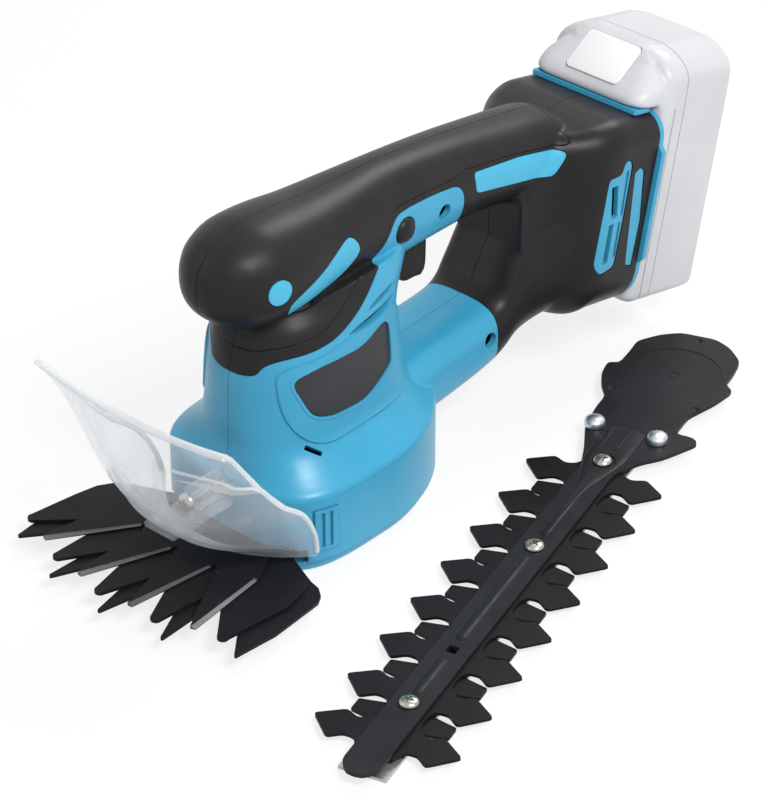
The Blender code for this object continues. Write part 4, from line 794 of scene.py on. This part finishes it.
# Grass blades: three stamped sheets on one shoulder bolt. The lower one has pointed teeth, the comb over
# it has blunt rounded teeth, and the moving one has narrow teeth with one flank ground bright.
PIVOT_Y = 4.5
PIVOT_HOLE = 4.3
HALF_PITCH = 6.75
ROOT_HALF = 0.25
LOWER_SHEET, COMB_SHEET, MOVING_SHEET = (8.0, 9.6), (9.9, 11.5), (11.8, 13.4)
CRANK_ARM, CRANK_THROW, CRANK_PIN, BLADE_SWING, SWING_MIDDLE = 17.5, 2.0, 1.5, 6.5, 2.45


def treated_steel(name, colour, shade, roughness, streak, turn=0.0, metal=1.0):
    """Steel with fine lines from rolling or grinding, cloudy tone and a little wear."""
    finish, tree, shader, place = new_finish(name)
    shader.inputs["Metallic"].default_value = metal
    shader.inputs["Specular IOR Level"].default_value = 0.5 if metal > 0.5 else 0.08
    lay = shader_node(tree, "Mapping", {"Rotation": (0, 0, turn), "Scale": (1.0, streak, 1.0)})
    tree.links.new(place, lay.inputs["Vector"])
    lines = noise(tree, lay.outputs["Vector"], 160.0, 5.0)
    toned(tree, shader, noise(tree, place, 45.0, 4.0), shade, colour, 0.32, 0.68)
    ranged(tree, lines, shader.inputs["Roughness"], roughness - 0.06, roughness + 0.08, (0.3, 0.7))
    relief(tree, shader, lines, 0.2, 0.15, 0.02)
    return finish


black_steel = treated_steel("blackened_steel", (0.014, 0.0132, 0.0148), (0.010, 0.0095, 0.0108), 0.38, 6.0,
                            0.0, 0.0)
ground_steel = treated_steel("ground_edge", (0.145, 0.148, 0.155), (0.110, 0.112, 0.118), 0.36, 10.0,
                             0.3, 0.6)
BACK = [(-34, -52), (-22, 8), (-12, 16), (12, 16), (22, 8), (34, -52)]


def polar(radius, angle):
    return radius * math.sin(math.radians(angle)), PIVOT_Y - radius * math.cos(math.radians(angle))


def teeth(angles, tip_radius, tip_half, root_radius, right_side, left_side, tip_round=1):
    points = list(right_side)
    for i, angle in enumerate(angles):
        turn = math.degrees(tip_half / tip_radius)
        if i > 0:
            points.append(polar(root_radius, angle + HALF_PITCH + ROOT_HALF))
            points.append(polar(root_radius, angle + HALF_PITCH - ROOT_HALF))
        for k in range(tip_round + 1):
            bow = math.cos(math.pi * (k / tip_round - 0.5)) if tip_round > 1 else 1.0
            side = math.cos(math.pi * k / tip_round)
            points.append(polar(tip_radius - tip_half * (1 - bow), angle + turn * side))
    return points + list(left_side)


def plate(outlines, low, high, frame=None):
    """A stamped sheet: an outline, with its holes, filled and pushed up to its thickness."""
    bm = bmesh.new()
    edges = []
    for outline in outlines:
        verts = [bm.verts.new((x * MM, y * MM, low * MM)) for x, y in outline]
        edges += [bm.edges.new((verts[i - 1], verts[i])) for i in range(len(verts))]
    bmesh.ops.triangle_fill(bm, use_beauty=True, use_dissolve=False, edges=edges)
    pushed_up(bm, bm.faces[:], high - low)
    if frame is not None:
        bm.transform(frame)
    return bm


def ring(x, y, radius, count=32):
    return [(x + radius * math.cos(angle), y + radius * math.sin(angle)) for angle in round_steps(count)]


SIDE_EDGE = [(38, -60), (56, -67.5), (62, -69), (66.5, -72.5), (69, -77), (71, -107)]
POINTED = [27, 13.5, 0, -13.5, -27]
lower = plate([teeth(POINTED, 151, 0.8, 99, SIDE_EDGE, [(-x, y) for x, y in reversed(SIDE_EDGE)] + BACK, 4),
               ring(0, PIVOT_Y, PIVOT_HOLE)], *LOWER_SHEET)
COMB_RIGHT = [(36, -60), (52, -67), (57, -70), (60, -76), (63, -90)]
COMB_LEFT = [(-72, -102), (-70.5, -92), (-68, -80), (-63, -72), (-56, -68), (-36, -60)]
comb = plate([teeth([23.5, 10, -3.5, -17, -30.5], 144, 2.8, 108, COMB_RIGHT, COMB_LEFT + BACK, 6),
              ring(0, PIVOT_Y, PIVOT_HOLE)], *COMB_SHEET)
for name, form, node in (("pointed_blade", lower, "lower_blade"), ("blunt_comb", comb, "comb_blade")):
    finished(smooth(new_piece(name, form)), black_steel, "body", node, slot="black_steel")
MOVING_RIGHT = [(16, -52), (31, -66), (40, -84)]
MOVING_LEFT = [(-48, -78), (-38, -64), (-20, -52), (-9, -4), (-8.4, 12), (-9, 22), (-6.5, 29), (-1, 31.5),
               (4, 31), (8.5, 27.5), (10, 21), (9, 12), (9, -4)]
off_centre = math.radians(SWING_MIDDLE)
window = CRANK_THROW + CRANK_PIN + CRANK_ARM * math.sin(math.radians(BLADE_SWING)) + FIT
window_at = (CRANK_ARM * math.sin(off_centre), PIVOT_Y + CRANK_ARM * math.cos(off_centre))
moving_angles = [17.8, 4.3, -9.2, -22.7]
moving_lines = [teeth(moving_angles, 142, 1.3, 96, MOVING_RIGHT, MOVING_LEFT),
                ring(0, PIVOT_Y, PIVOT_HOLE), ring(*window_at, window)]
moving = new_piece("moving_blade", plate(moving_lines, *MOVING_SHEET))
moving.data.materials.append(black_steel)
moving.data.materials.append(ground_steel)
for angle in moving_angles:
    tip, root = polar(143, angle), polar(97, angle + 6.4)
    along = (Vector(tip) - Vector(root)).normalized()
    across = Vector((-along.y, along.x))
    turn = Matrix(((along.x, across.x, 0, root[0] * MM), (along.y, across.y, 0, root[1] * MM),
                   (0, 0, 1, MOVING_SHEET[1] * MM), (0, 0, 0, 1)))
    tool = new_piece("wedge", block((2, -1.1, -0.8), (60, 6, 8), turn @ turned(-22, "X")))
    for slot in (black_steel, ground_steel):
        tool.data.materials.append(slot)
    tool.data.polygons.foreach_set("material_index", [1] * len(tool.data.polygons))
    carve(moving, spent(tool))
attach(moving, "moving_blade")
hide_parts("upper_blade")

# Screws: nickel plated steel, with pan heads and a cross recess. One holds the handle halves, one the
# strut halves, both from the left, and one holds the guard to the bowl.
nickel = treated_steel("nickel_plate", (0.52, 0.49, 0.45), (0.40, 0.38, 0.35), 0.25, 1.0)
SIDE_HEAD = 14.3
GUARD_BOLT = 38


def cross_screw(name, shank, length, head, rise, frame, body, node):
    profile = [(0, rise), (head * 0.35, rise), (head * 0.75, rise * 0.86), (head * 0.95, rise * 0.55),
               (head, rise * 0.15), (head, 0), (shank, 0), (shank, -length), (0, -length)]
    screw = new_piece(name, spun(profile, None, 40))
    arm, width = head * 0.55, head * 0.14
    carve(screw, block((-arm, -width, rise * 0.35), (arm, width, rise * 2)))
    carve(screw, block((-width, -arm, rise * 0.3), (width, arm, rise * 2.1)))
    screw.data.transform(frame)
    return finished(smooth(screw, 40), nickel, body, node, slot="zinc_steel")


for name, seat, node in (("grip_screw", HANDLE_SCREW, "handle_screw"),
                         ("strut_screw_left", STRUT_SCREW, "strut_screw")):
    cross_screw(name, 1.8, 28.3, 3.5, 2.1, moved(SIDE_HEAD, *seat) @ turned(90, "Y"), "body", node)
cross_screw("shield_screw", 1.8, 31.3, 4.6, 2.7, moved(0, -88.3, GUARD_BOLT) @ turned(90, "X"), "body",
            "guard_screw")

# Hand guard: one clear scoop of polycarbonate in front of the blades, with a thick top rim, a long raised
# bead on its left half and a boss for the screw that holds it to the bowl.
GUARD_ROWS = [(15, 15, 50, -83, -57, 2.2), (28, 28, 51.5, -101, -60, 3.0), (42, 44, 53, -110, -69, 3.1),
              (52, 57, 54.5, -115, -84, 3.2), (74, 77, 57, -120, -101, 3.2), (99, 106, 60, -122, -123, 2.0)]
BEAD = [(19, 84), (55, 80), (58, 76.5), (54, 74), (18, 78)]
WING_FOLD = [(-57, 100), (-40, 70), (-33, 46)]
GUARD_THICK = 2.4
HALF_STEPS = 60


def beside(line, x, z):
    """How far a point is from a line of points."""
    here, nearest = Vector((x, z)), 99.0
    for a, b in zip(line, line[1:]):
        a, b = Vector(a), Vector(b)
        t = max(0.0, min(1.0, (here - a).dot(b - a) / (b - a).length_squared))
        nearest = min(nearest, (here - a - (b - a) * t).length)
    return nearest


def guard_face(offset, raised):
    rows = []
    for middle_z, edge_z, half_width, middle_y, edge_y, power in between(GUARD_ROWS, 10):
        row = []
        for i in range(2 * HALF_STEPS + 1):
            across = i / HALF_STEPS - 1
            x = (half_width - offset) * across
            z = middle_z + (edge_z - middle_z) * across * across
            swell = 0.0
            if raised:
                for line, rise, reach in ((BEAD, 0.8, 2.2), (WING_FOLD, 0.5, 2.0)):
                    swell += rise * max(0.0, 1 - (beside(line, x, z) / reach) ** 2) ** 2
            row.append((x, middle_y + offset + (edge_y - middle_y) * abs(across) ** power - swell, z))
        rows.append(row)
    return rows


front_face, back_face = guard_face(0.0, True), guard_face(GUARD_THICK, False)


def tube(outer, inner, radius, flat=1.0, drop=0.0):
    """A round bead along the middle between two lines."""
    line = [(Vector(a) + Vector(b)) / 2 for a, b in zip(outer, inner)]
    rings = []
    for i in range(1, len(line) - 1):
        along = (line[i + 1] - line[i - 1]).normalized()
        out = along.cross(Vector((0, 0.2, 1))).normalized()
        up = out.cross(along)
        middle = line[i] - Vector((0, 0, drop))
        rings.append([middle + out * (radius * math.cos(angle)) + up * (radius * flat * math.sin(angle))
                      for angle in round_steps(16)])
    return skin_over(rings)


columns = zip(zip(*front_face), zip(*back_face))
sheet = new_piece("sheet", skin_over([list(front) + list(back)[::-1] for front, back in columns]))
carve(sheet, rod(2.1, (0, -125, GUARD_BOLT), (0, -60, GUARD_BOLT), 32))
carve(sheet, rod(6, (0, -83.4, 9), (0, -83.4, 17), 48))
whole = spent(sheet)
boss = spun([(2.1, 0), (6.5, 0), (6.5, 16), (2.1, 16)], moved(0, -68, GUARD_BOLT) @ turned(90, "X"))
edges = [tube([row[i] for row in front_face[2:-1]], [row[i] for row in back_face[2:-1]], 1.25)
         for i in (0, -1)]
front_points = [point for row in front_face for point in row]
bead_line = [min(front_points, key=lambda point: (point[0] - x) ** 2 + (point[2] - z) ** 2)
             for x, z in eased(BEAD, 7.0, 5)]
bead = tube(bead_line[3:-3], bead_line[3:-3], 0.75)
tab = block((-9, -107, 30.4), (9, -68.5, 32.9))
clear_faces = len(whole.faces) + len(boss.faces) + len(tab.faces)
for form in (boss, tab, tube(front_face[-1], back_face[-1], 2.1, 0.75, 1.2), bead, *edges):
    add_form(whole, form)
shield = new_piece("clear_guard", whole)


def clear_plastic(name, facing, grazing, tint):
    """Clear sheet that shows what is behind it, with a faint random haze and a painted white reflection that
    grows opaque where it is seen from the side.
    """
    finish, tree, shader, place = new_finish(name)
    shader.inputs["IOR"].default_value = 1.55
    haze = noise(tree, place, 60.0, 3.0)
    toned(tree, shader, haze, (tint * 0.93, tint * 0.96, tint * 0.98), (tint * 0.98, tint, tint), 0.0, 1.0)
    ranged(tree, haze, shader.inputs["Roughness"], 0.04, 0.12)
    # Painted reflection: the near-white colour turns opaque towards grazing views, where a clear sheet would
    # reflect its bright surroundings; only the small noise term is random haze.
    side_on = shader_node(tree, "LayerWeight", {"Blend": 0.5}).outputs["Facing"]
    haze_and_reflection = shader_node(tree, "Math", {1: 0.05})
    haze_and_reflection.operation = "MULTIPLY_ADD"
    tree.links.new(haze, haze_and_reflection.inputs[0])
    ranged(tree, worked_out(tree, "POWER", side_on, 3.0), haze_and_reflection.inputs[2], facing, grazing)
    tree.links.new(haze_and_reflection.outputs["Value"], shader.inputs["Alpha"])
    return finish


smooth(shield, 60)
# The sheet, boss and tab take the first finish. The top rim, the bead and the side edge beads take the
# second, whiter and more opaque one, which is a painted highlight along the clear edges.
shield.data.materials.append(clear_plastic("clear_polycarbonate", 0.09, 0.97, 0.88))
shield.data.materials.append(clear_plastic("clear_edge_highlight", 0.5, 1.0, 0.9))
faces = shield.data.polygons
faces.foreach_set("material_index", [int(i >= clear_faces) for i in range(len(faces))])
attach(shield, "body")
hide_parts("guard")

# Hedge blade, lying beside the tool: a black guide bar with a round mount, ribs pressed into it, over a
# fixed toothed blade, a sliding one and a light strip, held by three screws and two bright studs.
HEDGE_AT = (69.5, 178, 0)
HEDGE_TURN = 15.2
HEDGE = moved(*HEDGE_AT) @ turned(HEDGE_TURN - 90, "Z")
HEDGE_SCREWS = (84.5, 161.5, 291.0)
STUD_AT = (57, 16.2)
PITCH = 31.0
FIRST_TOOTH = 95.0
LAST_TOOTH = FIRST_TOOTH + PITCH * 7
BAR_LOW, BAR_TOP = 5.4, 7.4


def stadium(start, end, radius, count=24):
    start, end = Vector(start), Vector(end)
    along = (end - start).normalized()
    across = Vector((-along.y, along.x))
    return [tuple((end if math.cos(angle) > 0 else start) + along * radius * math.cos(angle)
                  + across * radius * math.sin(angle)) for angle in round_steps(count, 0.5)]


def pressed(start, end, radius, rise):
    """A rib with a round back, as a press raises it out of the bar."""
    rows = ((7.0, radius), (BAR_TOP, radius), (BAR_TOP + rise * 0.6, radius * 0.72),
            (BAR_TOP + rise * 0.92, radius * 0.4), (BAR_TOP + rise, radius * 0.12))
    rib = skin_over([[(u, v, z) for u, v in stadium(start, end, reach)] for z, reach in rows])
    rib.transform(HEDGE)
    return rib


def hedge_piece(name, form, finish, node, slot, body="hedge_attachment"):
    finished(smooth(new_piece(name, form)), finish, body, node, slot=slot)


DISC_EDGE = [(-37.5, -11.2), (-39.3, 6.8), (-35, 16), (-25.8, 25), (-14.4, 26.3), (-3.4, 26.3),
             (-0.1, 31.8), (14, 28), (30.7, 21.1), (47, 21.2), (46.3, 30.2), (50, 34.3), (68.3, 24),
             (77, 16), (90, 8.75), (338, 8.75), (344, 4), (344, -4), (338, -8.75), (90, -8.75), (77, -13),
             (60, -20), (42.4, -22), (31.6, -22), (22.3, -28.2), (13.6, -31.8), (2.7, -33.1), (1.5, -27.7),
             (-11, -27.3), (-20.9, -27.8), (-31, -20)]
bolt_holes = [ring(u, 0, 2.3) for u in HEDGE_SCREWS]
square_hole = [(245.5, -2.5), (250.5, -2.5), (250.5, 2.5), (245.5, 2.5)]
stud_holes = [ring(STUD_AT[0], side * STUD_AT[1], 2.8) for side in (1, -1)]
bar_lines = [eased(DISC_EDGE, 3.0), *bolt_holes, square_hole, *stud_holes]
bar = new_piece("guide_bar", plate(bar_lines, BAR_LOW, BAR_TOP, HEDGE))
carve(bar, spun([(0, 7.15), (24.2, 7.15), (24.2, 8), (0, 8)], HEDGE, 128))
carve(bar, spun([(1.6, 6.85), (3.2, 6.85), (3.4, 7.3), (1.4, 7.3)], HEDGE, 48))
fork = [(54, 10.2), (83, 10.6), (96, 6.9), (112, 2.7), (152, 2.7)]
fork = eased(fork + [(u, -v) for u, v in reversed(fork)], 4.0)
ridge = skin_over([[(u, v, z) for u, v in narrowed(fork, inset)]
                   for z, inset in ((7.0, 0), (BAR_TOP, 0), (7.9, 0.35), (8.2, 1.0))])
ridge.transform(HEDGE)
carve(bar, ridge, "UNION")
carve(bar, spun([(0, 7.4), (5.6, 7.4), (6.6, 8.6), (0, 8.6)], HEDGE @ moved(HEDGE_SCREWS[0], 0, 0), 48))
for u, v in ((-33.8, -0.6), (23.5, 21.7), (23.5, -21.7)):
    hollow = bmesh.new()
    bmesh.ops.create_uvsphere(hollow, u_segments=32, v_segments=16, radius=4.0 * MM,
                              matrix=HEDGE @ moved(u, v, 10.6))
    carve(bar, hollow)
for start, end, radius, rise in (((57, -6.2), (76, -5.6), 1.3, 1.5), ((57, 2.4), (73, 2.2), 1.3, 1.5),
                                 ((172, 0), (238, 0), 3.0, 1.0), ((258, 0), (282, 0), 3.0, 1.0)):
    carve(bar, pressed(start, end, radius, rise), "UNION")
brushed = treated_steel("brushed_black", (0.024, 0.024, 0.027), (0.017, 0.017, 0.019), 0.36, 1.0, 0.0, 0.05)
tree = brushed.node_tree
centre = shader_node(tree, "VectorMath", {1: [value * MM for value in HEDGE_AT]})
centre.operation = "SUBTRACT"
tree.links.new(shader_node(tree, "TexCoord").outputs["Object"], centre.inputs[0])
turned_lines = shader_node(tree, "TexWave", {"Scale": 420.0, "Distortion": 0.6})
turned_lines.wave_type = "RINGS"
turned_lines.rings_direction = "Z"
tree.links.new(centre.outputs["Vector"], turned_lines.inputs["Vector"])
tree.links.new(turned_lines.outputs["Fac"], tree.nodes["Bump"].inputs["Height"])
finished(smooth(bar), brushed, "hedge_attachment", "hedge_guide_bar", slot="black_steel")

BIG_TOOTH = [(-12, 10), (-7.5, 12), (-5.5, 17), (-8.7, 23.4), (0, 35.4), (11.9, 23.6), (7, 17.5), (7.5, 12),
             (11.5, 10)]
SMALL_TOOTH = [(-7, 9.5), (-4, 23.5), (4, 23.5), (7, 9.5)]


def toothed(tooth, first, count, half_width, start, end):
    upper = [(start, half_width)]
    for i in range(count):
        upper += [(first + PITCH * i + u, v) for u, v in tooth]
    upper.append((end, half_width))
    return upper + [(u, -v) for u, v in reversed(upper)]


fixed_edge = eased(toothed(BIG_TOOTH, FIRST_TOOTH, 8, 9.5, 66, LAST_TOOTH + 14), 1.8)
fixed = plate([fixed_edge, *bolt_holes, square_hole], 3.6, 5.1, HEDGE)
hedge_piece("hedge_teeth_fixed", fixed, black_steel, "hedge_fixed_blade", "black_steel")
slots = [stadium((u - 7.8, 0), (u + 7.8, 0), 2.3) for u in HEDGE_SCREWS]
sliding_edge = eased(toothed(SMALL_TOOTH, FIRST_TOOTH + PITCH / 2, 7, 8.5, 31, LAST_TOOTH + 6), 0.8)
sliding = plate([sliding_edge, *slots], 1.8, 3.3, HEDGE)
hedge_piece("hedge_teeth_sliding", sliding, black_steel, "hedge_moving_blade", "black_steel", "hedge_blade")
strip_end = LAST_TOOTH + 24
strip_edge = [(66, -11.4), (strip_end, -11.4), (strip_end, 11.4), (66, 11.4)]
strip_steel = treated_steel("strip_steel", (0.50, 0.53, 0.51), (0.42, 0.45, 0.43), 0.34, 8.0,
                            math.radians(HEDGE_TURN), 0.7)
hedge_piece("hedge_strip", plate([strip_edge, *bolt_holes], 0, 1.5, HEDGE), strip_steel, "hedge_lower_strip",
            "zinc_steel")
cup = [(12, 5.1), (22, 5.1), (22, 1), (21.7, 0.3), (21, 0), (18, 0), (18, 3), (12, 3)]
hedge_piece("hedge_cup", spun(cup, HEDGE, 64), black_finish, "hedge_drive_cup", "dark_plastic")
zinc = treated_steel("zinc_plate", (0.66, 0.68, 0.69), (0.50, 0.52, 0.54), 0.34, 1.0)
stud = [(0, 12), (2.0, 11.9), (3.6, 11.5), (4.6, 10.8), (5.0, 10.0), (5.1, 7.7), (2.5, 7.7), (2.5, 4.4),
        (0, 4.4)]
for side, name in ((1, "left"), (-1, "right")):
    dome = spun(stud, HEDGE @ moved(STUD_AT[0], side * STUD_AT[1], 0), 48)
    hedge_piece("hedge_dome_" + name, dome, zinc, "hedge_stud_" + name, "zinc_steel")
for number, u in enumerate(HEDGE_SCREWS, 1):
    at = HEDGE @ moved(u, 0, 7.7) @ turned(35 * number - 15, "Z")
    cross_screw("hedge_bolt_%d" % number, 2.0, 7.3, 4.6, 2.3, at, "hedge_attachment",
                "hedge_screw_%d" % number)

# Inner works that the CAD gives as they are: motor, gears, switch, cells and leads keep their forms and
# only get their finishes, since they are seen through the slots at most.
INNER_FINISHES = ((zinc, ("motor_can", "gear_plate", "blade_bolt", "trigger_pin", "motor_shaft")),
                  (nickel, ("crank_gear",)),
                  (black_finish, ("cooling_fan", "terminal_block", "switch_body", "cell_block")),
                  (rubber_finish, ("battery_lead", "motor_lead")))
for finish, names in INNER_FINISHES:
    for name in names:
        for place in frame["nodes"][name].material_slots:
            place.material = finish

for form in (outer_form, skin_form, pocket_form, inner_form, body_shell):
    bpy.data.objects.remove(form, do_unlink=True)
